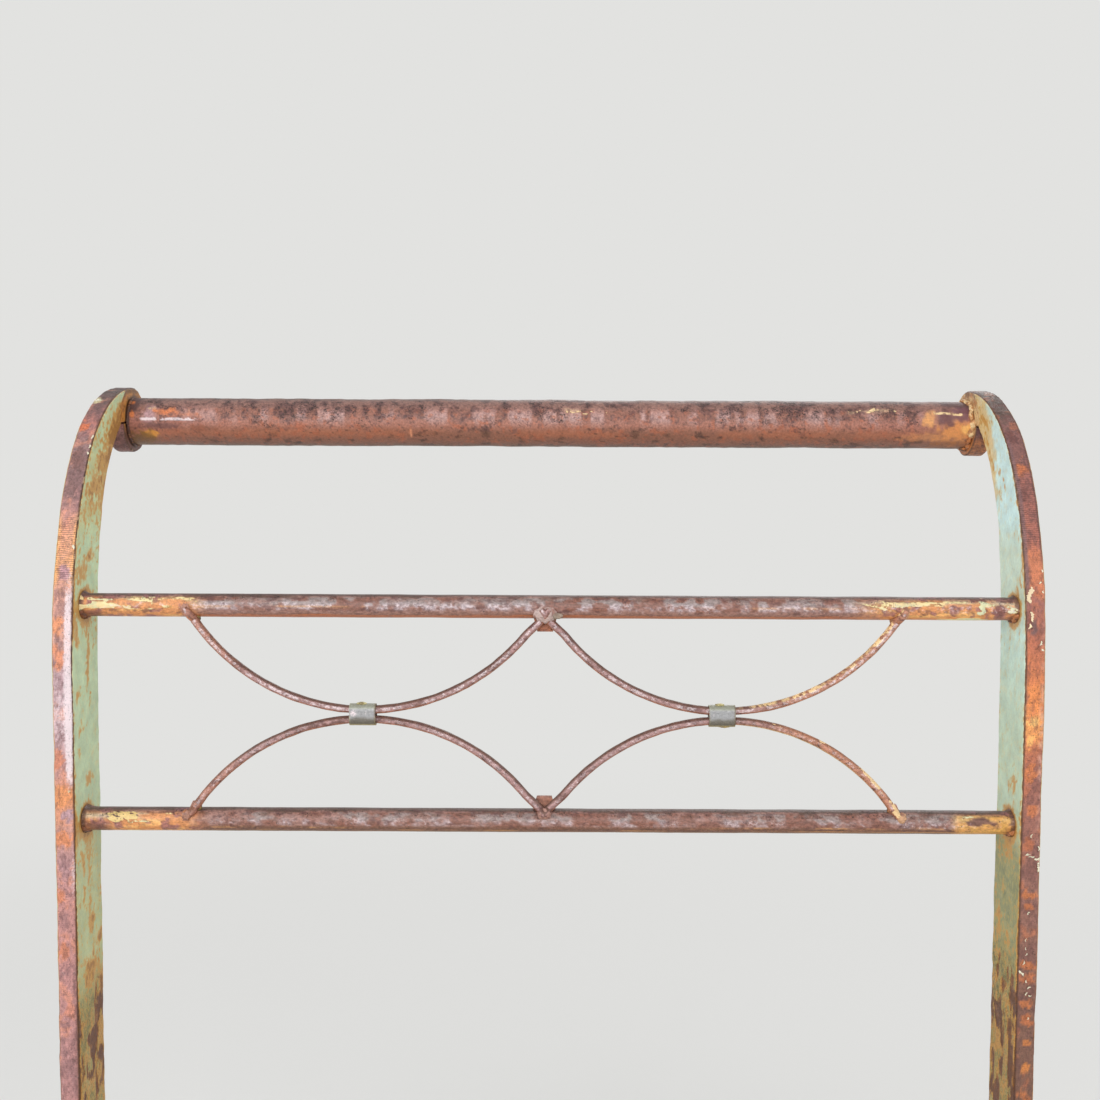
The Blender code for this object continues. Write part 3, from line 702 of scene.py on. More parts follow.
def finish_post(sweep, side, paints, rusts, wear):
    """Paint left on the faces, worn pink and orange edges, bare rust and darker tones at the curl, and heavy
    rust low down.
    """
    points = sweep.points
    height, depth = points[:, 2], points[:, 1]
    mm = height * 1000
    left = side == "left"
    seed = 11 if left else 37
    look = Finish(sweep, rusts.pink, paints.mint if left else paints.aqua)
    lay_rust, lay_paint = look.rust.lay, look.paint.lay
    inner = soft(sweep.facing[:, 1], 0.3, 0.9)
    outer = soft(-sweep.facing[:, 1], 0.3, 0.9)
    face = inner + outer
    edge = soft(np.abs(sweep.facing[:, 0]), 0.3, 0.9)
    front = soft(-sweep.facing[:, 0], 0.3, 0.9)
    across = sweep.across
    sideways = (points[:, 0] * -SIDES[side] + BAR_MIDDLE) / (BAR_THICKNESS / 2)
    from_axis = np.hypot(depth - AXIS[1], height - AXIS[2])
    laid = np.stack([points[:, 0], across * BAR_WIDTH, sweep.along], axis=1)
    streaks = noise(laid, (0.006, 0.0055, 0.014), seed + 2, 3)
    drips = noise(laid, (0.004, 0.0024, 0.0075), seed + 12, 3)
    spots = noise(points, 0.006, seed + 3, 3)
    small = noise(points, 0.0030, seed + 6, 2)
    tiny = noise(points, 0.0018, seed + 7, 2)
    wide = noise(points, 0.032, seed + 4, 2)
    low = soft(height, 0.600 if left else 0.615, 0.560 if left else 0.585)
    near_tube = soft(from_axis, 0.040, 0.021)
    eye = soft(from_axis, 0.0225, 0.0200)
    under = soft(height, AXIS[2] - 0.001, AXIS[2] - 0.008)

    look.left = 0.95 * face - 1.1 * edge
    look.left -= low * face * (0.62 + 1.3 * streaks + 0.6 * drips)
    look.left -= 0.7 * soft(across, 0.955, 1.0) * face + 0.8 * soft(across, 0.03, 0.0) * face
    look.left -= outer * (0.3 + 0.5 * soft(wide + streaks, 0.0, 0.8))
    look.left -= face * (0.14 * soft(drips + 0.4 * tiny, 0.55, 0.9) + 2.6 * eye * (0.8 + 0.3 * small))

    zone = np.interp(mm, (560, 600, 640, 700, 780, 800, 815, 850, 870),
                     (0.85, 0.45, 0.22, 0.0, 0.06, 0.16, 0.34, 0.42, 0.5) if left else
                     (0.85, 0.55, 0.35, 0.10, 0.0, 0.02, 0.0, 0.02, 0.2))
    look.stain = -0.92 + zone * (1.25 + 0.5 * spots) + 0.55 * soft(drips + 0.5 * tiny, 0.2, 0.8) + 0.12 * tiny
    look.stain += outer * 0.3
    look.stain += (0.45 if left else 0.18) * soft(across, 0.55, 0.95) * (0.6 + 0.7 * wide)
    look.stain += 0.75 * soft(across, 0.10, 0.015) * inner * (0.8 + 0.5 * wide + 0.4 * small)
    look.stain += (1.1 if left else 0.25) * near_tube * soft(across, 0.12, 0.5) * (0.85 + 0.5 * small)
    limits = (1.1, 0.92, 0.8, 0.7, 0.6, 0.5, 0.3) if left else (1.1, 0.97, 0.88, 0.76, 0.58, 0.4, 0.1)
    limit = np.interp(mm, (790, 826, 840, 850, 860, 870, 885), limits)
    rear = soft(across + 0.10 * small + 0.06 * wide, limit - 0.10, limit + 0.10) * inner
    look.stain += rear * ((0.75 if left else 0.16) + 0.25 * drips)
    for place, reach, middle, half, strength in FACE_STAINS[side]:
        level = blot(across, mm, (middle, place), (half * 1.3, reach * 1.2), 0.28 * tiny + 0.25 * drips)
        look.stain += strength * (1.15 if left else 0.85) * inner * soft(level, -0.2, 0.8)
    for rod in (UPPER_ROD, LOWER_ROD):
        below = hump(depth, rod[1] + 0.001, 0.008) * soft(height, rod[2] + 0.016, rod[2] + 0.002)
        below *= soft(height, rod[2] - 0.040, rod[2] - 0.006)
        beside = soft(depth, rod[1] - 0.006, rod[1] - 0.013) * hump(height, rod[2] - 0.003, 0.014)
        look.stain += ((1.0 if left else 0.45) * below + (1.0 if left else 0.2) * beside) * inner
        ring = hump(np.hypot(depth - rod[1], height - rod[2] + 0.001), 0.0080, 0.0022)
        look.stain += 1.2 * ring * inner
        look.left -= 1.3 * inner * hump(np.hypot(depth - rod[1], height - rod[2]), 0.0068, 0.0013)

    shift = 5 * small + 3 * wide
    look.rust.colour += (graded(mm + shift, EDGE_TONES[side]) - look.rust.colour) * edge[:, None]
    bright, dark = soft(spots + 0.4 * tiny, 0.3, 0.7), soft(-spots - 0.4 * tiny, 0.2, 0.7)
    lay_rust(rgb(226, 150, 120) if left else rgb(196, 114, 76), edge * bright * 0.5)
    lay_rust(rgb(130, 96, 98) if left else rgb(112, 74, 70), edge * dark * 0.5)
    ragged = 0.35 * small + 0.3 * tiny
    for place, reach, middle, half, tone in EDGE_PATCHES[side]:
        level = blot(sideways, mm, (middle, place), (half * 1.35, reach * 1.35), ragged)
        lay_rust(rgb(*tone), edge * soft(level, 0.1, 0.35) * 0.85)
    if left:
        glow = between(mm, 684, 700, 815, 832)
        rims = soft(np.abs(sideways), 0.45, 0.9)
        lay_rust(rgb(244, 176, 112), edge * rims * between(mm, 788, 796, 818, 828) * 0.9)
        # Painted highlight along the left front edge, strongest on its inner half between about 690 and 810
        # mm.
        shine = between(sideways, 0.0, 0.45, 0.8, 1.0) * glow * soft(mm, 812, 770)
        shine = shine * (0.75 + 0.2 * small) + 0.34 * hump(mm, 727, 15) + 0.2 * soft(mm, 832, 790)
        look.glint = edge * shine
        look.glint += edge * 0.4 * soft(sideways, 0.35, 0.7) * hump(mm, 645, 10)
        lay_rust(rgb(146, 102, 96), edge * soft(sideways, 0.4, 0.9) * soft(mm, 640, 560) * 0.6)
    else:
        # The right front edge is lightened round 725 mm, partly for brighter orange rust and partly as
        # painted highlight.
        look.rust.shade(1 + 0.07 * edge * hump(mm, 725, 40))
        strip = soft(sideways, 0.42, 0.62) * between(mm, 780, 796, 860, 872)
        lay_rust(rgb(126, 94, 94), edge * strip * 0.8)
        lay_rust(rgb(82, 52, 50), edge * soft(sideways, -0.68, -0.85) * soft(mm, 800, 812) * 0.8)
        # Painted highlight: pale pink on the outer half of the right front edge, round 712 mm.
        lay_rust(rgb(196, 158, 150), edge * soft(sideways, -0.3, -0.7) * hump(mm, 712, 56)
                      * soft(tiny + small, -0.3, 0.5) * 0.6)
    turned = soft(depth, AXIS[1] - 0.004, AXIS[1] + 0.006) + soft(height, AXIS[2] - 0.004, AXIS[2] - 0.010)
    turned = np.clip(turned, 0, 1) * soft(from_axis, 0.026, 0.022)
    lay_rust(rgb(134, 88, 80) if left else rgb(186, 116, 68), edge * turned * 0.9)
    lay_rust(rgb(96, 60, 56) if left else rgb(120, 72, 50), edge * turned * soft(spots, 0.0, 0.5) * 0.7)

    lay_rust(rgb(172, 116, 52), face * 0.9)
    lay_rust(rgb(146, 86, 30), face * low * 0.9)
    calm = soft(mm, 470, 525)
    lay_rust(rgb(100, 54, 18), face * low * soft(streaks + 0.5 * tiny, -0.1, 0.4) * (0.35 + 0.55 * calm))
    lay_rust(rgb(168, 112, 44), face * low * soft(spots, 0.25, 0.6) * 0.6)
    lay_rust(rgb(196, 132, 62) if left else rgb(224, 192, 142), face * near_tube * 0.9)
    lay_rust(rgb(132, 84, 36) if left else rgb(186, 122, 72),
             face * near_tube * soft(spots + tiny, 0.0, 0.5) * 0.8)
    # Inside the curl, below the axis and next to the tube, the faces turn darker; nearly black brown on the
    # left.
    lay_rust(rgb(112, 72, 64) if left else rgb(180, 112, 62), face * eye * under)
    lay_rust(rgb(78, 52, 34) if left else rgb(150, 98, 60),
             face * eye * soft(from_axis, 0.0158, 0.0138) * 0.9)
    crest = soft(height, AXIS[2] + 0.0135, AXIS[2] + 0.0185)
    lay_rust(rgb(104, 74, 42) if left else rgb(126, 86, 52), face * crest * soft(small, -0.6, 0.3) * 0.8)

    lay_paint(paints.sage, soft(height, 0.80, 0.70) * (0.45 if left else 0.65))
    lay_paint(rgb(172, 172, 124), soft(height, 0.670, 0.640) * (0.45 if left else 0.3))
    if not left:
        lay_paint(rgb(124, 124, 84), soft(height, 0.672, 0.652) * 0.8)
    lay_paint(rgb(112, 98, 52), low * (0.92 - 0.4 * soft(wide + 0.5 * spots, 0.0, 0.6)))
    if left:
        lay_paint(rgb(196, 188, 128), between(mm, 812, 824, 850, 866) * (0.45 + 0.3 * spots))
    else:
        lay_paint(rgb(226, 204, 160), near_tube * 0.95)
        lay_paint(rgb(222, 190, 138), rear * 0.85)
        lay_paint(rgb(214, 240, 242), (1 - rear) * between(mm, 800, 836, 868, 880) * 0.5)
        lay_paint(rgb(204, 214, 188), between(mm, 770, 786, 806, 826) * 0.6)
    lay_paint(paints.cream, soft(small, 0.2, 0.9) * 0.2)

    corner = np.clip((1 - np.abs(sweep.facing).max(axis=1)) * 5, 0, 1)
    inner_front = corner * soft(across, 0.3, 0.0) * soft(sweep.facing[:, 1], 0.0, 0.25)
    look.left -= 1.6 * corner
    lay_rust(rgb(62, 38, 24) if left else rgb(72, 46, 38), inner_front * soft(tiny, -1.2, -0.2) * 0.95)
    band = soft(across, 0.05, 0.01) * inner * (0.6 + 0.4 * soft(small, -0.4, 0.4))
    lay_rust(rgb(96, 60, 28), band * (1.0 if left else 0.6))
    look.left -= 1.2 * band * soft(tiny + 0.4 * wide, -0.4, 0.3)
    chip = soft(tiny + 0.6 * small, 0.35, 0.55)
    places = inner_front * (between(mm, 853, 858, 864, 869) if left else 0.15 * soft(mm, 600, 610))
    if not left:
        outside = corner * front * soft(sideways, 0, -0.5)
        places = places + outside * (hump(mm, 792, 12) + 0.6 * hump(mm, 655, 14))
    look.left += 2.6 * chip * places
    lay_paint(rgb(236, 224, 200), np.clip(corner + edge, 0, 1))
    grain = inner_front * between(mm, 690, 705, 850, 864) * (1.0 if left else 0.5)
    lay_rust(rgb(232, 206, 176), grain * soft(tiny, 0.1, 0.5) * 0.7)
    lay_rust(rgb(36, 24, 20), grain * soft(-tiny, 0.1, 0.5) * 0.9)

    look.clean = edge * 0.35 + face * 0.45
    look.pits = 0.06 + 0.40 * low * face + 0.22 * edge + 0.2 * near_tube
    lines = between(mm, 790, 797, 820, 828) if left else between(mm, 808, 815, 855, 862) * 0.7
    look.hatch = edge * (0.12 + 0.88 * lines)
    look.wax = 0.5 + 0.3 * spots
    mask = soft(look.left, -0.12, 0.12)
    look.height = relief(points, seed + 8, wear) + wear.paint_thickness * mask
    look.height += 0.00012 * tiny * edge
    look.height -= corner * 0.00035 * soft(noise(points, 0.004, seed + 9, 2), -0.1, 0.8)
    groove = 0.0088 + 0.0016 * np.sin(np.arctan2(depth - AXIS[1], height - AXIS[2]) / 2)
    look.height -= 0.0008 * outer * hump(from_axis, groove, 0.0007)
    blend_into(look, finish_plain(sweep, seed + 60, paints.sage, rusts, wear), soft(mm, 535, 465))
    return look


def blend_into(look, other, share):
    """Turn one finish into another where share goes from 0 to 1."""
    for coat, wanted in ((look.rust, other.rust), (look.paint, other.paint)):
        coat.colour += (wanted.colour - coat.colour) * share[:, None]
    for key in ("left", "stain", "pits", "hatch", "clean", "glint", "height"):
        own = getattr(look, key)
        setattr(look, key, own + (getattr(other, key) - own) * share)


# Stains on the top tube and one painted highlight: colour, place along in millimetres and round in degrees,
# both half sizes, then strength, raggedness and softness of the edge where these aren't the usual ones
TUBE_STAINS_AND_HIGHLIGHT = (
    ((84, 58, 56), -236.5, 52, 5.5, 34), ((214, 122, 66), -237.6, 56, 1.3, 8),
    # The lilac patch at -227 mm is a painted highlight.
    ((214, 122, 66), -236.6, 19, 1.5, 9), ((186, 148, 156), -227, 24, 5.0, 24, 0.75, 0.4, 0.8),
    ((228, 132, 82), -218, 25, 6.4, 12, 0.9, 0.4, 0.6), ((216, 126, 84), -206, 20, 9, 7, 0.5, 0.4, 0.8),
    ((212, 146, 60), -227, -27, 6, 11), ((112, 78, 34), -233, -50, 8.5, 28, 0.75),
    ((98, 66, 66), -222, -8, 12, 9, 0.6), ((128, 80, 62), -196, -14, 9, 8, 0.5),
    ((216, 144, 84), 231, -14, 18, 44, 0.95, 0.3, 0.8), ((206, 142, 92), 212, -30, 14, 12, 0.5),
    ((226, 162, 100), 215.5, 16, 5.0, 26, 0.9, 0.3, 0.8), ((104, 68, 72), 224, 18, 5.5, 22, 0.85),
    ((112, 74, 84), 234, 34, 6, 24, 0.85), ((92, 62, 60), 231, 66, 9, 18, 0.8),
    ((246, 190, 110), 236, -8, 3.0, 14, 0.8), ((150, 92, 50), 228, -60, 13, 18, 0.7),
    ((224, 150, 110), -79, -24, 0.9, 12, 0.8, 0.1),
)


def finish_tube(sweep, rusts, wear):
    """Copper red rust, mottled and pitted above, smoother below, with stains at both ends, a painted
    highlight band and painted reflections.
    """
    points = sweep.points
    x = points[:, 0]
    mm = x * 1000
    angle = np.degrees(np.arctan2(points[:, 2] - AXIS[2], AXIS[1] - points[:, 1]))
    look = Finish(sweep, rusts.copper, rgb(238, 208, 160))
    lay_rust = look.rust.lay
    mottle = noise(points, 0.0036, 61, 3)
    small = noise(points, 0.0022, 60, 2)
    tiny = noise(points, 0.0014, 59, 2)
    wide = noise(points, 0.028, 62, 2)
    bands = noise(points, (0.0068, 0.06, 0.06), 63, 2)
    lower = noise(points, (0.006, 0.004, 0.004), 64, 3)
    top = soft(angle, -8, 24)
    lay_rust(rgb(152, 102, 82), soft(angle, 6, -22) * 0.8)
    lay_rust(rgb(112, 78, 56), soft(angle, -50, -80) * 0.85)
    lay_rust(rgb(98, 66, 50), soft(angle, 0, -20) * soft(lower, 0.42, 0.7) * 0.6)
    lay_rust(rgb(136, 104, 96), soft(angle, 18, 50) * 0.75)
    # Painted highlight: a lighter band along the middle of the tube's front.
    lay_rust(rgb(192, 128, 108), hump(angle, 1, 15) * 0.7)
    lay_rust(rgb(184, 112, 82), hump(angle, -24, 12) * soft(wide, -0.6, 0.4) * 0.7)
    lay_rust(rgb(108, 74, 70), top * soft(mottle + 0.25 * wide - 0.55 * bands, -0.1, 0.5) * 0.62)
    lay_rust(rgb(70, 48, 46), top * soft(tiny + 0.5 * mottle - 0.25 * bands, 0.45, 0.8) * 0.75)
    lay_rust(rgb(84, 54, 46), soft(angle, 20, -5) * soft(tiny + 0.6 * lower, 0.75, 1.0) * 0.7)
    lay_rust(rgb(94, 68, 58), soft(angle, 60, 82) * (0.7 + 0.3 * mottle))
    # Painted reflection: pale lilac bands across the front above the middle, with a weak painted glint on
    # them.
    pale = soft(bands + 0.25 * mottle, -0.05, 0.35)
    lay_rust(rgb(196, 160, 156), hump(angle, 18, 19) * pale * (0.8 + 0.2 * small))
    lay_rust(rgb(184, 104, 74), soft(small + 0.4 * mottle, 0.35, 0.75) * soft(angle, 55, 10) * 0.65)
    look.glint = 0.26 * hump(angle, 14, 14) * pale * soft(small, -0.5, 0.3)
    look.clean = 0.55 * soft(angle, 0, -26)
    look.rust.shade(1 - 0.09 * soft(angle, 32, 12))
    ends = soft(np.abs(mm), 150, 232)
    lay_rust(rgb(170, 110, 96), ends * hump(angle, 5, 30) * 0.5)

    # Lays one patch of the table; all are stains except the painted highlight at -227 mm.
    def stain(colour, x0, a0, half_x, half_a, amount=0.9, rough=0.3, edge=0.45):
        level = blot(mm, angle, (x0, a0), (half_x * 1.15, half_a * 1.15), rough * (small + 0.6 * mottle))
        lay_rust(colour, soft(level, 0.0, edge) * amount)
        look.clean = np.maximum(look.clean, soft(level, 0.0, 0.3) * amount * 0.85)

    for tone, *where in TUBE_STAINS_AND_HIGHLIGHT:
        stain(rgb(*tone), *where)
    drawn = noise(points, (0.011, 0.0019, 0.0019), 65, 2)
    streak = hump(angle, 34 + 5 * wide + 9 * mottle, 5.5) * soft(drawn + 0.9 * small, 0.1, 0.4)
    flaked = between(mm, 166, 172, 202, 210) + 0.8 * between(mm, 6, 10, 32, 38)
    flaked += 1.2 * between(mm, 216, 219, 232, 236)
    flaked += 0.7 * between(mm, -236, -232, -206, -200) * soft(small, 0.1, 0.5)
    look.left = -1.0 + 1.8 * streak * flaked
    beside = hump(angle, 34 + 5 * wide, 6) * np.clip(flaked, 0, 1)
    lay_rust(rgb(232, 204, 160), beside * soft(drawn, -0.3, 0.4) * 0.5)
    # Painted highlight: a thin white line along the front near the left end, which is also made glossier.
    shine = hump(angle, 8.5 + 1.6 * small, 3.0) * between(mm, -234, -230, -206, -196)
    look.glint += 1.5 * shine * soft(small, -1.1, -0.2)
    look.pits = 0.12 + 0.42 * top * soft(wide + mottle - 0.5 * bands, -0.3, 0.8)
    look.pits += 0.28 * soft(lower, 0.35, 0.8)
    look.height = relief(points, 66, wear, 0.8) + 0.00016 * bands * top
    look.wax = 0.6 + 0.3 * wide + 0.8 * shine
    return look


def finish_rod(sweep, centre, seed, wear):
    """Grey lilac film over brown with a painted highlight on it, a dark crest, an orange or brown underside
    and creamy ends.
    """
    points = sweep.points
    mm = points[:, 0] * 1000
    angle = np.degrees(np.arctan2(points[:, 2] - centre[2], centre[1] - points[:, 1]))
    upper = centre[2] > (UPPER_ROD[2] + LOWER_ROD[2]) / 2
    look = Finish(sweep, rgb(160, 120, 110), rgb(232, 214, 160))
    lay_rust, lay_paint = look.rust.lay, look.paint.lay
    spots = noise(points, (0.0048, 0.0036, 0.0036), seed, 2)
    small = noise(points, 0.0019, seed + 4, 2)
    wide = noise(points, 0.024, seed + 1, 2)
    drawn = noise(points, (0.012, 0.0020, 0.0020), seed + 2, 3)
    blotch = noise(points, (0.0090, 0.0060, 0.0060), seed + 9, 2)
    bared = soft(blotch + 0.2 * small, 0.20, 0.42) if upper else soft(blotch + 0.2 * small, 0.05, 0.32)
    film = between(angle, 8, 20, 52, 66) * soft(wide + 0.5 * drawn, -0.9 if upper else -0.5, 0.0)
    film *= 1 - 0.8 * bared
    lay_rust(rgb(156, 146, 144), film * (0.8 if upper else 0.7))
    # Painted highlight: pale lilac along the front just above the middle; the painted glint comes from it
    # and, more weakly, from the film.
    shine = hump(angle + 5 * wide, 5, 21) * soft(small + 0.5 * drawn + 0.3 * wide, -0.7, 0.3)
    shine *= 1 - 0.75 * bared
    lay_rust(rgb(190, 174, 182), shine * (0.85 if upper else 0.65))
    look.glint = shine * (0.52 if upper else 0.40) + 0.16 * film
    lay_rust(rgb(134, 88, 74), bared * between(angle, -24, -8, 52, 66) * 0.7)
    amount = 0.35 + 0.55 * between(mm, -20, 10, 80, 110) if upper else 0.55
    lay_rust(rgb(142, 92, 76), soft(spots + 0.2 * small, 0.22, 0.38) * soft(angle, -30, -14) * amount)
    lay_rust(rgb(120, 84, 70), soft(drawn - 0.4 * spots, 0.3, 0.6) * soft(angle, 28, 44) * 0.6)
    line_at = (5 if upper else -17) + 5 * wide
    gold = soft(np.abs(mm), 60, 110) * (0.8 if upper else 1.0)
    line = hump(angle, line_at, 4.5) * soft(drawn + 0.3 * small, -0.3, 0.3) * gold
    lay_rust(rgb(88, 66, 58), soft(angle + 9 * drawn + 5 * spots, 58, 70) * 0.85)
    lay_rust(rgb(158, 116, 104) if upper else rgb(124, 86, 70), soft(angle, -8, -19) * 0.8)
    lay_rust(rgb(216, 158, 104), line * 0.85)
    under_line = between(angle, -30, -20, -12, -6)
    lay_rust(rgb(196, 170, 172), under_line * soft(small, 0.2, 0.6) * (0.4 if upper else 0.1))
    seam = -35 + 3 * wide + 2 * drawn
    below = soft(angle, seam - 2, seam - 6)
    lay_rust(rgb(90, 58, 48), hump(angle, seam, 2.2) * soft(drawn + small, -0.4, 0.4) * 0.65)
    if upper:
        lay_rust(rgb(192, 112, 72), below)
        lay_rust(rgb(176, 100, 64), soft(angle, -60, -84) * 0.8)
    else:
        lay_rust(rgb(146, 102, 74), below)
        lay_rust(rgb(212, 152, 92), hump(angle, seam - 6, 3.5) * soft(wide + drawn, -0.3, 0.3) * 0.8)
        lay_rust(rgb(196, 134, 76), soft(angle, -62, -70) * soft(drawn, -0.5, 0.1) * 0.8)
        lay_rust(rgb(84, 58, 46), hump(angle, -54, 4) * soft(drawn, -0.2, 0.3) * 0.5)
    look.clean = below * 0.75
    look.rust.colour *= 0.94

    from_left = soft(mm, -172, -190)
    from_right = soft(mm, 150, 180) if upper else soft(mm, 206, 214)
    warm = np.clip(from_left + from_right, 0, 1)
    lay_rust(rgb(224, 150, 92), warm * soft(angle, 70, 36) * 0.85)
    lay_rust(rgb(236, 178, 110), warm * soft(drawn, 0.0, 0.5) * soft(angle, 50, 10) * 0.8)
    lay_rust(rgb(150, 100, 104), warm * soft(spots + 0.3 * small, 0.3, 0.6) * 0.75)
    lay_rust(rgb(200, 196, 176), warm * hump(angle, 36, 14) * soft(drawn + wide, -0.2, 0.4) * 0.7)
    peel = drawn + 0.3 * small
    look.left = warm * (1.9 if upper else 0.6) * soft(peel + 0.35 * wide, -0.1, 0.5)
    look.left = -0.95 + look.left * hump(angle, 20, 27)
    if not upper:
        lay_rust(rgb(214, 164, 88), from_right * soft(angle, 66, 40) * (0.75 + 0.25 * small))
    look.left += 1.0 * warm * hump(angle, 38, 12) * soft(peel, -0.1, 0.3) * (1 if upper else 0.3)
    threads = noise(points, (0.016, 0.0013, 0.0013), seed + 13, 2)
    reach = between(angle, -14, 4, 48, 60) * (1.7 if upper else 0.8)
    look.left += warm * reach * soft(threads, 0.28, 0.52)
    look.left = np.minimum(look.left, 0.05 + 0.25 * drawn)
    lay_paint(rgb(214, 222, 188), soft(wide + spots, -0.1, 0.4) * (0.3 + 0.4 * soft(np.abs(mm), 205, 220)))
    lay_paint(rgb(246, 212, 156), soft(small - wide, 0.0, 0.7) * 0.6)
    if upper:
        tip = soft(mm, -218, -226) * soft(angle + 10 * spots, -14, 4) * soft(angle, 64, 50)
        look.left += tip * 1.4 * soft(drawn + 0.6 * small, -0.5, 0.2)
        lay_rust(rgb(128, 82, 76), soft(mm, -226, -232) * soft(angle, -8, -26) * 0.85)
        strip = blot(mm, angle, (221.5, 18), (3.2, 40), 0.6 * drawn + 0.4 * small)
        strip = np.maximum(strip, blot(mm, angle, (214, -52), (18, 9), 0.5 * drawn))
        look.left += 1.5 * soft(strip, 0.0, 0.25)
        bruise = soft(blot(mm, angle, (230, 2), (4.4, 28), 0.4 * spots), 0.05, 0.3)
        look.left -= 1.6 * bruise
        lay_rust(rgb(128, 82, 80), bruise * 0.85)
    else:
        scale = blot(mm, angle, (-218, 34), (9, 27), 0.3 * spots + 0.2 * small)
        cracks = hump(noise(points, (0.0070, 0.0040, 0.0040), seed + 12, 2), 0.0, 0.045)
        cracks *= soft(scale, 0.0, 0.2)
        look.left += 1.9 * soft(scale, 0.0, 0.2) - 2.2 * cracks
        lay_paint(rgb(228, 194, 126), soft(scale, -0.1, 0.1) * 0.9)
        lay_rust(rgb(78, 50, 32), cracks * 0.9)
        look.left += 1.8 * soft(blot(mm, angle, (-214, -54), (4.2, 7), 0.2 * small), 0.0, 0.2)
        bruise = soft(blot(mm, angle, (222.5, 24), (7.5, 26), 0.4 * spots), 0.05, 0.3)
        look.left -= 1.6 * bruise
        lay_rust(rgb(112, 78, 72), bruise * 0.9)
        lay_rust(rgb(124, 84, 78), soft(mm, -222, -230) * soft(angle + 12 * spots, 14, -8) * 0.85)
    collar = soft(np.abs(mm), 234.5, 237)
    lay_rust(rgb(158, 98, 62), collar * soft(angle, 20, -40) * 0.8)
    lay_rust(rgb(92, 60, 44), soft(np.abs(mm), 237.5, 238.6) * 0.8)
    look.pits = 0.08 + 0.22 * soft(angle, 20, 50) + 0.18 * soft(spots, 0.2, 0.6)
    look.height = relief(points, seed + 3, wear, 0.28) + wear.paint_thickness * soft(look.left, -0.1, 0.1)
    look.height += collar * 0.0004 * noise(points, 0.003, seed + 7, 2)
    look.wax = 0.7 + 0.3 * wide
    return look


def finish_arc(sweep, path, level, side, seed, front):
    """Mauve brown with painted highlight streaks along the front, and an orange, olive or creamy rim."""
    points = sweep.points
    mm = points[:, 0] * 1000
    look = Finish(sweep, rgb(136, 96, 88), rgb(236, 200, 148))
    lay_rust = look.rust.lay
    drawn = noise(points, 0.0075, seed, 3)
    small = noise(points, 0.0017, seed + 1, 2)
    way = unit(points - np.repeat(path, sweep.shape[1], axis=0))
    forward = way @ front
    rise = way[:, 2]
    # Painted highlight: pale lilac and a painted glint on the side that faces forward.
    glint = 0.68 if level == "upper" else 0.5
    lay_rust(rgb(184, 150, 152), soft(forward, 0.6, 0.92) * 0.65)
    look.glint = soft(forward, 0.80, 0.97) * soft(small + 0.6 * drawn, -0.7, 0.2) * glint
    lay_rust(rgb(104, 70, 62), soft(small - drawn, 0.35, 0.8) * 0.6)
    lay_rust(rgb(186, 116, 82), soft(rise, -0.35, -0.7) * soft(forward, -0.6, 0.2) * 0.85)
    lay_rust(rgb(96, 66, 54), soft(rise, 0.3, 0.7) * 0.8)
    lay_rust(rgb(120, 96, 56), soft(forward, 0.1, -0.4) * 0.7)
    if side == "right":
        warm = soft(mm, 95, 135)
        lay_rust(rgb(196, 128, 90), warm * 0.55)
        rim = soft(rise, -0.45, -0.8) if level == "lower" else soft(rise, 0.3, 0.7) * soft(small, -0.2, 0.3)
        lay_rust(rgb(236, 206, 150), rim * between(mm, 90, 110, 172, 182) * 0.85)
        look.left = -1.0 + warm * 1.7 * soft(drawn + 0.5 * small, 0.1, 0.45) * soft(rise, -0.2, 0.5)
    else:
        lay_rust(rgb(196, 126, 92), soft(mm, -150, -172) * 0.35)
    look.pits = 0.12 + 0.2 * soft(small, 0, 0.5)
    look.height = noise(points, 0.006, seed + 5, 2) * 0.00012
    look.wax = 0.7 + 0.3 * drawn
    return look


def finish_plain(sweep, seed, paint, rusts, wear, amount=0.1):
    """Sage paint worn through to rust, thinner along the edges, for the parts lower down."""
    points = sweep.points
    look = Finish(sweep, rusts.mauve, paint)
    streaks = noise(points, 0.014, seed, 3)
    spots = noise(points, 0.006, seed + 1, 3)
    wide = noise(points, 0.06, seed + 2, 2)
    look.left = amount + 0.5 * wide - 0.75 * soft(streaks, 0.05, 0.7) - 0.4 * soft(spots, 0.2, 0.8)
    look.stain = -0.7 + 0.6 * soft(streaks + 0.4 * spots, -0.1, 0.7)
    if sweep.facing is not None:
        look.left -= 0.9 * soft(np.abs(sweep.facing[:, 0]), 0.3, 0.9) * (0.6 + 0.5 * wide)
        look.left -= 1.6 * np.clip(1 - np.abs(sweep.facing).max(axis=1), 0, 0.3)
    look.rust.lay(rusts.orange, soft(spots + 0.4 * wide, 0.0, 0.7) * 0.7)
    look.rust.lay(rusts.umber, soft(streaks - spots, 0.0, 0.9) * 0.8)
    look.paint.lay(rusts.ochre, soft(streaks, -0.3, 0.4) * 0.3)
    look.pits = 0.12 + 0.15 * soft(streaks, 0, 0.6)
    look.height = relief(points, seed + 3, wear, 0.7) + wear.paint_thickness * soft(look.left, -0.12, 0.12)
    return look


def settings():
    scene = bpy.context.scene
    return scene.chair_paint, scene.chair_rust, scene.chair_wear


def need(node):
    """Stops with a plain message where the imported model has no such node."""
    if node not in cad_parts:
        raise RuntimeError(f"the packed model has no node {node}")
    return [np.array(corner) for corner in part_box(node)]


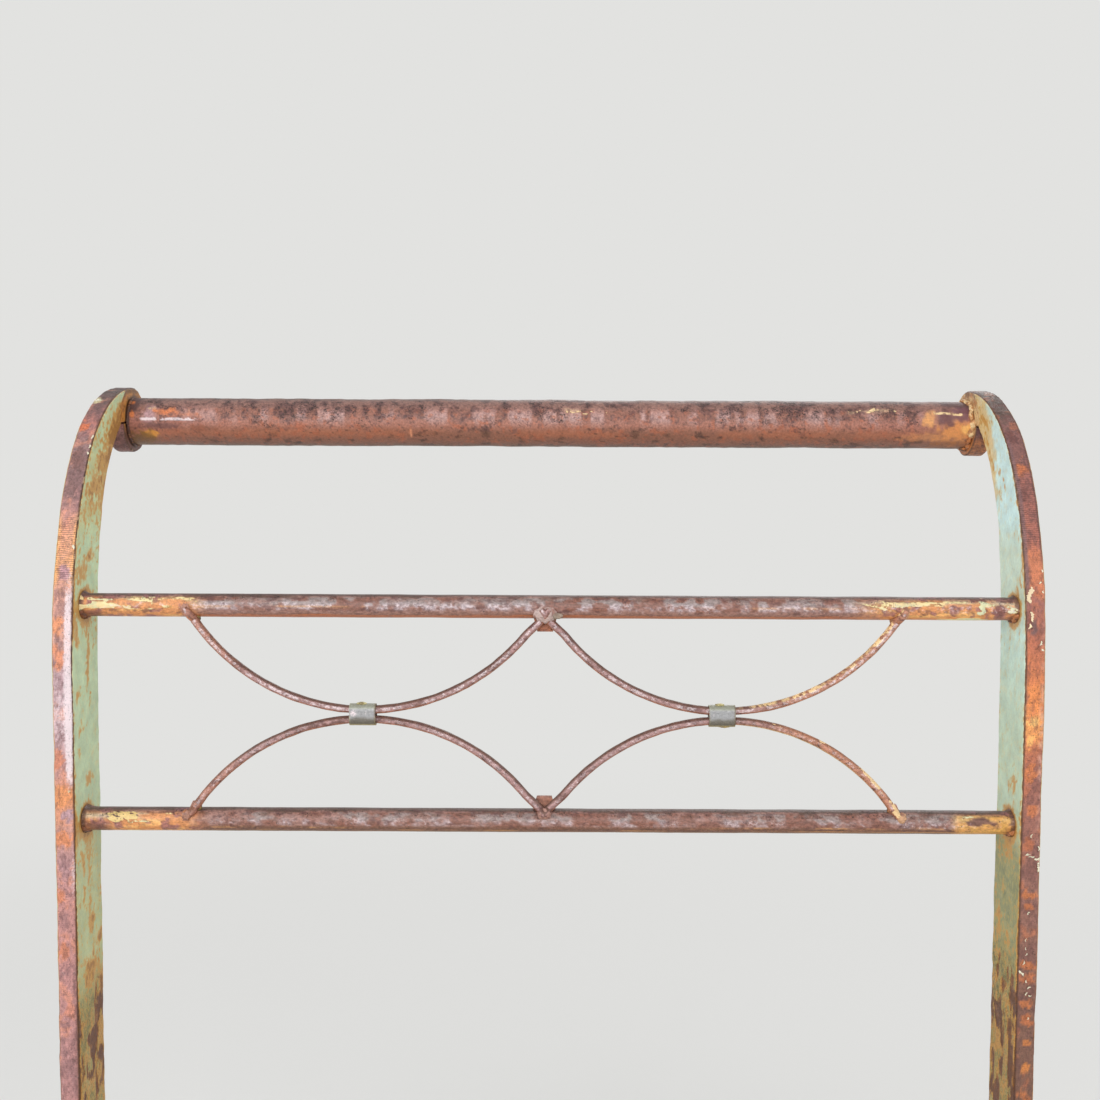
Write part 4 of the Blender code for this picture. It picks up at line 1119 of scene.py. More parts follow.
def rod_stations(half, step):
    """Places along a rod from end to end, closer together at the welds."""
    inner = np.arange(-half + WELD_REACH, half - WELD_REACH, step)
    weld = np.linspace(0, WELD_REACH, 9)[:-1]
    places = np.concatenate([-half + weld, inner, half - weld[::-1]])
    from_end = half - np.abs(places)
    fillet = (WELD_COLLAR_RADIUS - ROD_RADIUS) * np.clip(1 - from_end / WELD_COLLAR_LENGTH, 0, 1) ** 1.6
    return places, ROD_RADIUS + 0.55 * fillet


def back_axes():
    """Ways up along the slope of the back and out of its front."""
    span = UPPER_ROD - LOWER_ROD
    up = span / np.linalg.norm(span)
    return up, np.array([0.0, -up[2], up[1]])


def make_arc_path(level, side):
    """Centres along a curved rod, whose ends ride over the fronts of the rods, and its radii."""
    sign = SIDES[side]
    up, front = back_axes()
    length = float(np.linalg.norm(UPPER_ROD - LOWER_ROD))
    sagitta = length / 2 - ARC_RADIUS - TOUCH_GAP / 2
    radius = ((ARC_SPAN / 2) ** 2 + sagitta ** 2) / (2 * sagitta)
    half_angle = math.asin(ARC_SPAN / 2 / radius)
    rod, inward = (UPPER_ROD, -up) if level == "upper" else (LOWER_ROD, up)
    middle = rod + ARC_FORWARD * front + (ARC_JOINT_X + sign * ARC_SPAN / 2) * ACROSS
    centre = middle + (sagitta - radius) * inward
    angles = np.linspace(-half_angle, half_angle, 260)[:, None]
    path = centre + radius * (np.cos(angles) * inward + np.sin(angles) * ACROSS)
    drop = (path - rod) @ inward
    seat = ROD_RADIUS + 0.6 * ARC_RADIUS
    lift = np.sqrt(np.clip(seat ** 2 - drop ** 2, 0, None)) - ARC_FORWARD
    path += np.clip(lift, 0, None)[:, None] * front
    gather = soft(drop, 0.015, 0.005) * soft(np.abs(path[:, 0] - ARC_JOINT_X), 0.030, 0.015)
    path -= (JOINT_GATHER * sign * gather)[:, None] * ACROSS
    end = ARC_END_LIFT[level]
    kept = drop > end
    path, drop = path[kept], drop[kept]
    radii = 0.93 * ARC_RADIUS * (1 - 0.4 * soft(drop, end + 0.003, end - 0.0005))
    return path, radii, front


class CHAIR_OT_side_posts(bpy.types.Operator):
    """Sweep the two side bars from foot to curled end, with their paint and rust"""

    bl_idname = "chair.side_posts"
    bl_label = "Side posts"

    def execute(self, context):
        paints, rusts, wear = settings()
        front, back, first = post_sections()
        for side, sign in SIDES.items():
            name = "side_post_" + side
            need(name)
            x = np.full((len(front), 1), sign * BAR_MIDDLE)
            sweep = sweep_bar(np.hstack([x, front]), np.hstack([x, back]), (-sign, 0, 0),
                              BAR_THICKNESS, wear.bar_arris, (34, 11, 3))
            alias = sweep.numbers()
            at_axis = np.isclose(sweep.facing[:sweep.shape[1], 0], 1)
            alias[first:, at_axis] = alias[first, at_axis]
            sweep.alias = alias.ravel()
            look = finish_post(sweep, side, paints, rusts, wear)
            dress(side + "_side_bar", sweep, look, "side_bar_paint", name)
        return {"FINISHED"}


class CHAIR_OT_top_tube(bpy.types.Operator):
    """Sweep the thick tube between the curled ends"""

    bl_idname = "chair.top_tube"
    bl_label = "Top tube"

    def execute(self, context):
        need("top_tube")
        x = np.linspace(-TUBE_END, TUBE_END, 520)
        centres = np.stack([x, np.full_like(x, AXIS[1]), np.full_like(x, AXIS[2])], axis=1)
        sweep = sweep_rod(centres, np.full(len(x), TUBE_RADIUS), (0, -1, 0), 108)
        look = finish_tube(sweep, context.scene.chair_rust, context.scene.chair_wear)
        dress("back_tube", sweep, look, "tube_rust", "top_tube")
        return {"FINISHED"}


class CHAIR_OT_back_rods(bpy.types.Operator):
    """Sweep the two rods of the back, with the fillets of weld at their ends"""

    bl_idname = "chair.back_rods"
    bl_label = "Back rods"

    def execute(self, context):
        for node, seed in (("upper_rod", 81), ("lower_rod", 91)):
            need(node)
            centre = middle_of(node)
            places, radii = rod_stations(TUBE_END, 0.0011)
            centres = np.stack([places, np.full_like(places, centre[1]), np.full_like(places, centre[2])], 1)
            sweep = sweep_rod(centres, radii, (0, -1, 0), 48)
            look = finish_rod(sweep, centre, seed, context.scene.chair_wear)
            dress("back_" + node, sweep, look, "rod_rust", node)
        return {"FINISHED"}


class CHAIR_OT_curved_rods(bpy.types.Operator):
    """Sweep the four thin curved rods between the rods of the back"""

    bl_idname = "chair.curved_rods"
    bl_label = "Curved rods"

    def execute(self, context):
        for number, (level, side) in enumerate((a, b) for a in ("upper", "lower") for b in SIDES):
            node = f"arc_{level}_{side}"
            need(node)
            path, radii, front = make_arc_path(level, side)
            sweep = sweep_rod(path, radii, front, 20)
            look = finish_arc(sweep, path, level, side, 101 + 7 * number, front)
            dress(f"curved_rod_{level}_{side}", sweep, look, "rod_rust", node)
        return {"FINISHED"}


def stadium(half_height, radius, count):
    """Loop of points in the shape of a slot, evenly spaced, as across and up."""
    straight = 2 * (half_height - radius)
    total = 2 * straight + 2 * math.pi * radius
    points = []
    for s in np.linspace(0, total, count + 1)[:-1]:
        if s < straight:
            points.append((radius, s - straight / 2))
        elif s < straight + math.pi * radius:
            a = (s - straight) / radius
            points.append((radius * math.cos(a), straight / 2 + radius * math.sin(a)))
        elif s < 2 * straight + math.pi * radius:
            points.append((-radius, straight / 2 - (s - straight - math.pi * radius)))
        else:
            a = math.pi + (s - 2 * straight - math.pi * radius) / radius
            points.append((radius * math.cos(a), -straight / 2 + radius * math.sin(a)))
    return np.array(points)


def finish_clip(sweep, side, centre, up, sage):
    """Grey metal with a painted highlight on its front, brown below and at one end, with cream along the
    rims.
    """
    look = Finish(sweep, rgb(158, 158, 160), sage)
    rise = (sweep.points - centre) @ up
    cloud = noise(sweep.points, 0.003, 130 + SIDES[side], 2)
    look.rust.lay(rgb(150, 152, 134), soft(rise, 0.0026, 0.0042) * 0.8)
    across = (sweep.points[:, 0] - centre[0]) * 1000
    # Painted highlight a little above the clip's middle, mostly near its left end, strongest on the left
    # clip.
    bright = 0.9 if side == "left" else 0.35
    gleam = hump(across, -4.6, 2.2) + 0.4 * hump(across, 2, 3)
    look.glint = bright * hump(rise * 1000, 1.0, 1.8) * gleam
    look.rust.lay(rgb(106, 100, 90), soft(rise + 0.0006 * cloud, 0.0000, -0.0024) * 0.9)
    look.rust.lay(rgb(84, 62, 46), soft(across, 6.0, 6.5) * 0.8)
    look.rust.lay(rgb(196, 176, 120), soft(rise, -0.0042, -0.0050) * 0.7)
    aside = np.abs(sweep.points[:, 0] - centre[0])
    look.rust.lay(rgb(186, 176, 132), soft(aside, 0.0060, 0.0066) * (0.3 + 0.3 * cloud))
    look.left = -1.3 + 0.3 * cloud
    look.clean[:] = 0.75
    look.pits[:] = 0.03
    return look


class CHAIR_OT_clips(bpy.types.Operator):
    """Wrap a strip of sheet metal round each pair of curved rods"""

    bl_idname = "chair.clips"
    bl_label = "Clips"

    def execute(self, context):
        sage = context.scene.chair_paint.sage
        for side in SIDES:
            node = "clip_" + side
            need(node)
            up, front = back_axes()
            centre = middle_of(node)
            outer_half = CLIP_HALF + CLIP_PLAY + CLIP_WALL
            outer = stadium(outer_half, ARC_RADIUS + CLIP_PLAY + CLIP_WALL, 72)
            inner = stadium(outer_half - CLIP_WALL, ARC_RADIUS + CLIP_PLAY, 72)
            x = np.linspace(-1, 1, 26) * CLIP_WIDTH / 2
            rings = []
            for loop, places in ((outer, x), (inner, x[::-1])):
                for place in places:
                    ring = centre + loop[:, :1] * front + loop[:, 1:] * up
                    ring[:, 0] += place
                    rings.append(ring)
            rings.append(rings[0])
            grid = np.array(rings)
            sweep = Sweep(grid, along=np.zeros(grid.shape[0] * grid.shape[1]))
            alias = sweep.numbers()
            alias[-1] = alias[0]
            sweep.alias = alias.ravel()
            look = finish_clip(sweep, side, centre, up, sage)
            dress_band(side + "_clip", sweep, look, node)
        return {"FINISHED"}


def dress_band(name, sweep, look, node):
    """A piece whose last section is its first again, so it has no end faces."""
    faces = [face for face in faces_of(sweep) if max(face) < len(sweep.points)]
    made = add_mesh(name, sweep.points.copy(), faces, values_of(look), finish_material("clip_metal"))
    return settle(made, "clip_metal", node)


class CHAIR_OT_tabs(bpy.types.Operator):
    """Shape the small plates behind the ends of the curved rods"""

    bl_idname = "chair.tabs"
    bl_label = "Tabs"

    def execute(self, context):
        paints, rusts, wear = settings()
        up, front = back_axes()
        for level, rod, inward in (("upper", UPPER_ROD, -up), ("lower", LOWER_ROD, up)):
            for place in ("left", "middle", "right"):
                node = f"tab_{level}_{place}"
                need(node)
                shape = (0.0125, 0.0080, 0.0128) if place == "middle" else (0.0070, 0.0030, 0.0093)
                shift = {"left": -1, "middle": 0, "right": 1}[place]
                x = ARC_JOINT_X + shift * (ARC_SPAN - 0.0035)
                face = ARC_FORWARD - ARC_RADIUS - TOUCH_GAP - 0.0010
                t = np.linspace(0, 1, 14)[:, None]
                width = shape[0] + (shape[1] - shape[0]) * t
                line = rod + x * ACROSS + face * front + (0.0050 + (shape[2] - 0.0050) * t) * inward
                sweep = sweep_bar(line - width / 2 * ACROSS, line + width / 2 * ACROSS,
                                  front, 0.0020, 0.0004, (14, 4, 1))
                look = finish_plain(sweep, 140 + len(node) + shift, paints.sage, rusts, wear, -1.1)
                tone = rgb(176, 106, 74) if level == "upper" else rgb(170, 120, 102)
                look.rust.lay(tone, np.full(len(sweep.points), 0.9))
                dress("plate_" + node, sweep, look, "rod_rust", node)
        return {"FINISHED"}


def bead(centre, axes, reach, seed, lumps=0.18):
    """Lumpy drop of weld or filler, as a sweep along its first axis."""
    turns = np.linspace(0.06, math.pi - 0.06, 26)
    centres = centre + np.cos(turns)[:, None] * reach[0] * axes[0]
    ring = np.linspace(0, 2 * math.pi, 33)[:-1]
    out = np.cos(ring)[:, None] * reach[1] * axes[1] + np.sin(ring)[:, None] * reach[2] * axes[2]
    grid = centres[:, None] + np.sin(turns)[:, None, None] * out[None]
    lump = noise(grid.reshape(-1, 3), 0.6 * min(reach), seed, 2).reshape(grid.shape[:2])
    grid = grid + (grid - centre) * (lumps * lump)[..., None]
    steps = np.full(len(grid), 2 * reach[0] / len(grid)).cumsum()
    return Sweep(grid, along=np.repeat(steps, len(ring)))


def finish_bead(sweep, tone, second, seed, share=0.5):
    """Mottled in two tones, with pits in the hollows and a painted highlight on pale drops."""
    points = sweep.points
    look = Finish(sweep, rgb(*tone), rgb(*tone))
    cloud = noise(points, 0.0026, seed + 50, 3)
    look.rust.lay(rgb(*second), soft(cloud, 0.5 - share, 0.9 - share) * 0.85)
    # Painted highlight on the pale drops.
    look.glint = 0.3 * soft(cloud, 0.3, -0.3) * (sum(tone) > 480)
    look.clean[:] = 0.35
    look.pits = 0.12 + 0.2 * soft(cloud, 0.1, 0.6)
    return look


def dress_heap(name, parts, slot):
    """One piece made of several closed sweeps, each with its own finish."""
    points, faces, values = [], [], {}
    count = 0
    for sweep, look in parts:
        moved = sweep.points + sweep.normals() * look.height[:, None]
        moved = with_middles(sweep, moved)
        own = outward(moved, faces_of(sweep))
        faces += [[v + count for v in face] for face in own]
        points.append(moved)
        for key, value in values_of(look).items():
            values.setdefault(key, []).append(with_middles(sweep, value))
        count += len(moved)
    joined = {key: np.concatenate(value) for key, value in values.items()}
    return settle(add_mesh(name, np.concatenate(points), faces, joined, finish_material(slot)), slot)


def flake(place, length_way, width_way, size, curl, seed):
    """Curled scale of paint, thin and ragged, that lifts off the surface along one side."""
    out = np.cross(length_way, width_way)
    s = np.linspace(-0.98, 0.98, 22)
    ring = np.linspace(0, 2 * math.pi, 21)[:-1]
    ragged = noise(np.stack([s * 4, s * 0, s * 0], axis=1), 0.5, seed)
    half = size[1] / 2 * np.sqrt(1 - s ** 2) * (1 + 0.45 * ragged)
    across = half[:, None] * np.cos(ring)
    lift = curl * ((across / size[1] + 0.5) ** 2) * size[1] + 0.00013 * np.sin(ring)
    bend = 0.25 * size[1] * np.sin(3 * s + seed)
    grid = place + (s * size[0] / 2)[:, None, None] * length_way
    grid = grid + (across + bend[:, None])[..., None] * width_way + lift[..., None] * out
    return Sweep(grid, along=np.repeat(s * size[0], len(ring)))


def finish_flake(sweep, tone, seed):
    points = sweep.points
    look = Finish(sweep, rgb(196, 150, 110), rgb(*tone))
    look.left[:] = 0.9
    look.stain = -0.95 + 0.5 * soft(noise(points, 0.0016, seed, 2), 0.2, 0.8)
    look.clean[:] = 0.5
    return look


def add_drop(parts, centre, axes, reach, seed, tones, lumps=0.18, share=0.5):
    """One more drop for a heap, mottled in two tones."""
    drop = bead(centre, axes, reach, seed, lumps)
    parts.append((drop, finish_bead(drop, *tones, seed, share)))


# Two tones for each kind of weld, by side or level
JOINT_WELD_TONES = {
    "upper": ((184, 160, 154), (150, 108, 98)), "lower": ((164, 124, 112), (150, 108, 98))}
ARC_WELD_TONES = {
    "left": ((168, 122, 104), (176, 112, 70)), "right": ((196, 152, 118), (150, 104, 84))}
ARC_TAIL_TONES = {
    "left": ((136, 116, 66), (96, 74, 40)), "right": ((150, 104, 70), (96, 66, 40))}
ROD_WELD_TONES = {
    "left": ((134, 84, 58), (88, 56, 42)), "right": ((176, 112, 70), (88, 56, 42))}


class CHAIR_OT_welds(bpy.types.Operator):
    """Add the drops of weld at the joints and the dabs of filler on the clips"""

    bl_idname = "chair.welds"
    bl_label = "Welds"

    def execute(self, context):
        up, front = back_axes()
        for level, rod, inward, seed in (("upper", UPPER_ROD, -up, 500), ("lower", LOWER_ROD, up, 520)):
            self.middle_joint(level, rod + ARC_JOINT_X * ACROSS, inward, up, front, seed)
            self.arc_ends(level, rod, inward, up, front, seed)
            self.rod_ends(level, rod, up, front, seed)
        for side, sign in SIDES.items():
            self.clip_filler(side, sign, up, front)
        for side, sign in SIDES.items():
            self.tube_end(side, sign)
        return {"FINISHED"}

    def middle_joint(self, level, joint, inward, up, front, seed):
        """Wide drop where the curved rods meet, with a small one beside it on the upper rod."""
        parts = []
        axes = (ACROSS, front, up)
        place, reach = joint + 0.0052 * front + 0.0046 * inward, (0.0036, 0.0018, 0.0030)
        if level == "upper":
            place, reach = joint + 0.0052 * front + 0.0034 * inward, (0.0060, 0.0030, 0.0044)
        add_drop(parts, place, axes, reach, seed, JOINT_WELD_TONES[level], 0.12, 0.3)
        if level == "upper":
            beside = joint + 0.0056 * ACROSS + 0.0056 * front + 0.0042 * inward
            add_drop(parts, beside, axes, (0.0034, 0.0018, 0.0017), seed + 1,
                     ((150, 132, 118), (120, 92, 74)))
        dress_heap(f"joint_weld_{level}", parts, "rod_rust")

    def arc_ends(self, level, rod, inward, up, front, seed):
        """Flat drop on each outer end of the curved rods, and a darker tail behind it."""
        parts = []
        for side, sign in SIDES.items():
            end = rod + (ARC_JOINT_X + sign * (ARC_SPAN - 0.0006)) * ACROSS
            seat = end + 0.0060 * front + (0.0016 if level == "upper" else 0.0036) * inward
            add_drop(parts, seat, (up, ACROSS, front), (0.0028, 0.0023, 0.0012), seed + 3 + sign,
                     ARC_WELD_TONES[side])
            tail = end - sign * 0.0044 * ACROSS + 0.0020 * front + 0.0064 * inward
            add_drop(parts, tail, (ACROSS, up, front), (0.0022, 0.0024, 0.0018), seed + 6 + sign,
                     ARC_TAIL_TONES[side])
        dress_heap(f"curved_rod_welds_{level}", parts, "rod_rust")

    def rod_ends(self, level, rod, up, front, seed):
        """Drops round both ends of a rod, against the side bars."""
        parts = []
        for side, sign in SIDES.items():
            wall = rod + sign * (TUBE_END - 0.0002) * ACROSS
            for k, a in enumerate((-150, -95, -50, 150)):
                way = math.cos(math.radians(a)) * front + math.sin(math.radians(a)) * up
                reach = (0.0022, 0.0013, 0.0030) if k < 3 else (0.0014, 0.0011, 0.0022)
                add_drop(parts, wall + 0.0061 * way, (ACROSS, way, np.cross(ACROSS, way)), reach,
                         seed + 20 + 7 * k + sign, ROD_WELD_TONES[side])
        dress_heap(f"rod_end_welds_{level}", parts, "rod_rust")

    def clip_filler(self, side, sign, up, front):
        """Dab of filler on top of a clip, and one more below the right clip."""
        parts = []
        need("clip_" + side)
        middle = middle_of("clip_" + side)
        top = middle + (CLIP_HALF + 0.0010) * up + (-0.0006 if side == "left" else -0.0010) * ACROSS
        add_drop(parts, top + 0.0002 * front, (ACROSS, front, up), (0.0024, 0.0017, 0.0008), 560 + sign,
                 ((196, 186, 132), (150, 136, 96)))
        if side == "right":
            under = middle - (CLIP_HALF + 0.0008) * up + 0.0014 * ACROSS
            add_drop(parts, under, (ACROSS, front, up), (0.0030, 0.0016, 0.0007), 566,
                     ((186, 160, 104), (140, 112, 72)))
        dress_heap(side + "_clip_filler", parts, "clip_metal")

    def tube_end(self, side, sign):
        """Right end lumpy and creamy, left end a thin dark seam."""
        parts = []
        right = side == "right"
        turns = np.arange(-100, 190, 21) if right else np.arange(-150, 60, 26)
        for k, a in enumerate(turns):
            way = np.array([0.0, -math.cos(math.radians(a)), math.sin(math.radians(a))])
            wobble = 0.0008 * math.sin(2.3 * k) if right else 0.0
            place = AXIS + way * (TUBE_RADIUS + 0.0002) + (TUBE_END - 0.0006 - wobble) * sign * ACROSS
            reach, tones = (0.0009, 0.0007, 0.0032), ((84, 56, 46), (150, 96, 60))
            if right:
                reach = (0.0017 + 0.0005 * math.sin(1.7 * k), 0.0012, 0.0029)
                tones = ((222, 190, 140), (176, 116, 66)) if a > -30 else ((186, 116, 66), (110, 72, 44))
            add_drop(parts, place, (ACROSS, way, np.cross(ACROSS, way)), reach, 600 + k + 30 * sign, tones)
        dress_heap(side + "_tube_weld", parts, "tube_rust")


# Curled scales of paint on the bars' front edges: height in millimetres, place across from -1 to 1,
# length, width, curl and tilt
FLAKES = {
    "right": (
        (789, 0.62, 8.5, 3.0, 0.3, 4), (778.5, 0.45, 5.5, 1.6, 0.35, -14), (774, 0.7, 3.0, 1.4, 0.3, 20),
        (764.5, -0.55, 2.6, 1.0, 0.5, 30), (761.5, -0.75, 1.6, 0.8, 0.5, -40),
        (668, 0.0, 2.4, 0.9, 0.5, 25), (658, 0.35, 2.6, 0.9, 0.4, 80), (656.5, -0.1, 3.0, 0.9, 0.4, 84),
        (655.5, -0.75, 3.2, 1.2, 0.3, 70), (661, -0.9, 2.4, 1.0, 0.3, 0), (651, -0.9, 5.2, 1.1, 0.3, 4),
        (627.5, 0.1, 2.0, 1.0, 0.5, 50), (614, 0.3, 2.0, 0.8, 0.5, 10), (610, 0.28, 1.8, 0.7, 0.5, -20),
        (606.5, 0.2, 1.8, 0.8, 0.5, 30), (602, 0.45, 2.4, 0.7, 0.5, 20), (596.5, 0.7, 4.0, 0.9, 0.4, -38),
        (592.5, 0.15, 1.6, 0.9, 0.5, 10), (589, -0.2, 2.4, 1.0, 0.5, 60), (586, 0.1, 1.8, 0.8, 0.5, 15),
        (584.5, -0.35, 1.8, 0.8, 0.5, 80), (573, -0.2, 1.4, 0.7, 0.5, 20), (800, -0.9, 1.6, 0.8, 0.4, 10),
        (795, -0.6, 1.4, 0.8, 0.5, 70), (791, -0.88, 1.6, 0.9, 0.4, 0)),
    "left": (
        (883, -0.55, 3.2, 2.4, 0.15, 30), (864.5, 0.92, 3.0, 0.8, 0.2, 0),
        (859.5, 0.95, 2.4, 0.8, 0.2, 5), (856, 0.93, 1.8, 0.7, 0.2, -5), (810.5, 0.9, 2.4, 0.9, 0.2, 0),
        (688, 0.6, 1.6, 0.8, 0.4, 60)),
}


class CHAIR_OT_flakes(bpy.types.Operator):
    """Lay curled scales of old paint on the front edges of the side bars"""

    bl_idname = "chair.flakes"
    bl_label = "Paint flakes"

    def execute(self, context):
        front, _, first = post_sections()
        rows = slice(FIRST_FLAKE_ROW, first)
        slopes = unit(np.gradient(front, axis=0))
        for side, sign in SIDES.items():
            parts = []
            for number, (mm, aside, length, width, curl, tilt) in enumerate(FLAKES[side]):
                row = FIRST_FLAKE_ROW + int(np.argmin(np.abs(front[rows, 1] - mm / 1000)))
                along = np.array([0.0, *slopes[row]])
                out = np.array([0.0, -along[2], along[1]])
                x = sign * (BAR_MIDDLE - aside * (BAR_THICKNESS / 2 - 0.0006))
                place = np.array([x, *front[row]]) + out * 0.00012
                turn = math.radians(tilt)
                side_way = np.cross(along, out)
                length_way = math.cos(turn) * along + math.sin(turn) * side_way
                width_way = np.cross(out, length_way)
                size = (length / 1000, width / 1000)
                sheet = flake(place, length_way, width_way, size, curl, 700 + number)
                tone = (240, 218, 180) if number < 3 and side == "right" else (226, 220, 196)
                parts.append((sheet, finish_flake(sheet, tone, 700 + number)))
            dress_heap(side + "_paint_flakes", parts, "side_bar_paint")
        return {"FINISHED"}


def straight_bar(node, name, along, across, thickness_way, slot, seed, counts, step, amount):
    """Flat bar through a CAD node's box, swept along one axis with its width along another."""
    paints, rusts, wear = settings()
    low, high = need(node)
    count = max(int((high[along] - low[along]) / step), 8)
    t = np.linspace(0, 1, count)
    middle = (low + high) / 2
    front = np.tile(middle, (count, 1))
    front[:, along] = low[along] + (high[along] - low[along]) * t
    back = front.copy()
    front[:, across] = low[across]
    back[:, across] = high[across]
    inward = np.zeros(3)
    inward[thickness_way] = 1
    thickness = high[thickness_way] - low[thickness_way]
    sweep = sweep_bar(front, back, inward, thickness, min(wear.bar_arris, thickness / 5), counts)
    look = finish_plain(sweep, seed, paints.sage, rusts, wear, amount)
    return dress(name, sweep, look, slot, node)


class CHAIR_OT_legs_and_rails(bpy.types.Operator):
    """Sweep the front legs and the four rails under the seat"""

    bl_idname = "chair.legs_and_rails"
    bl_label = "Legs and rails"

    def execute(self, context):
        for number, side in enumerate(SIDES):
            straight_bar("front_leg_" + side, side + "_front_leg", 2, 1, 0, "side_bar_paint",
                         200 + number, (22, 7, 1), 0.0028, 0.05)
            self.side_rail(side, 210 + number)
        for number, node in enumerate(("seat_front_rail", "seat_rear_rail")):
            straight_bar(node, "cross_" + node, 0, 2, 1, "side_bar_paint", 220 + number,
                         (18, 5, 1), 0.0030, 0.1)
        return {"FINISHED"}

    def side_rail(self, side, seed):
        """The rear end follows the sloping edge of the post."""
        paints, rusts, wear = settings()
        node = "seat_side_rail_" + side
        low, high = need(node)
        front, _, first = post_sections()
        rising = front[: first - 100]
        count = 140
        rows = []
        for height in (low[2], high[2]):
            rear = np.interp(height, rising[:, 1], rising[:, 0]) - TOUCH_GAP
            y = np.linspace(low[1], rear, count)
            rows.append(np.stack([np.full(count, (low[0] + high[0]) / 2), y, np.full(count, height)], axis=1))
        sweep = sweep_bar(rows[0], rows[1], (-SIDES[side], 0, 0), BAR_THICKNESS, wear.bar_arris, (20, 7, 1))
        look = finish_plain(sweep, seed, paints.sage, rusts, wear, 0.1)
        dress(side + "_seat_rail", sweep, look, "side_bar_paint", node)


class CHAIR_OT_slats(bpy.types.Operator):
    """Sweep the flat slats of the seat"""

    bl_idname = "chair.slats"
    bl_label = "Slats"

    def execute(self, context):
        for number in range(1, 11):
            node = f"seat_slat_{number:02d}"
            straight_bar(node, f"slat_{number:02d}", 0, 1, 2, "seat_paint", 300 + 5 * number,
                         (18, 4, 1), 0.0036, 0.35)
        return {"FINISHED"}


class CHAIR_OT_stretchers(bpy.types.Operator):
    """Sweep the three round rods low between the legs"""

    bl_idname = "chair.stretchers"
    bl_label = "Stretchers"

    def execute(self, context):
        paints, rusts, wear = settings()
        for number, node in enumerate(("stretcher_left", "stretcher_right", "stretcher_cross")):
            low, high = need(node)
            along = 0 if node.endswith("cross") else 1
            middle = (low + high) / 2
            count = 170
            centres = np.tile(middle, (count, 1))
            centres[:, along] = np.linspace(low[along], high[along], count)
            sweep = sweep_rod(centres, np.full(count, STRETCHER_RADIUS), (0, 0, 1), 26)
            look = finish_plain(sweep, 400 + 9 * number, paints.sage, rusts, wear, -0.3)
            dress("rod_" + node, sweep, look, "rod_rust", node)
        return {"FINISHED"}


def aim(thing, target):
    thing.rotation_mode = "QUATERNION"
    thing.rotation_quaternion = (Vector(target) - thing.location).to_track_quat("-Z", "Y")


def add_lamp(name, place, target, size, power):
    lamp = bpy.data.lights.new(name, "AREA")
    lamp.shape = "RECTANGLE"
    lamp.size, lamp.size_y = size
    lamp.energy = power
    made = bpy.data.objects.new(name, lamp)
    made.location = place
    bpy.context.scene.collection.objects.link(made)
    aim(made, target)
    return made


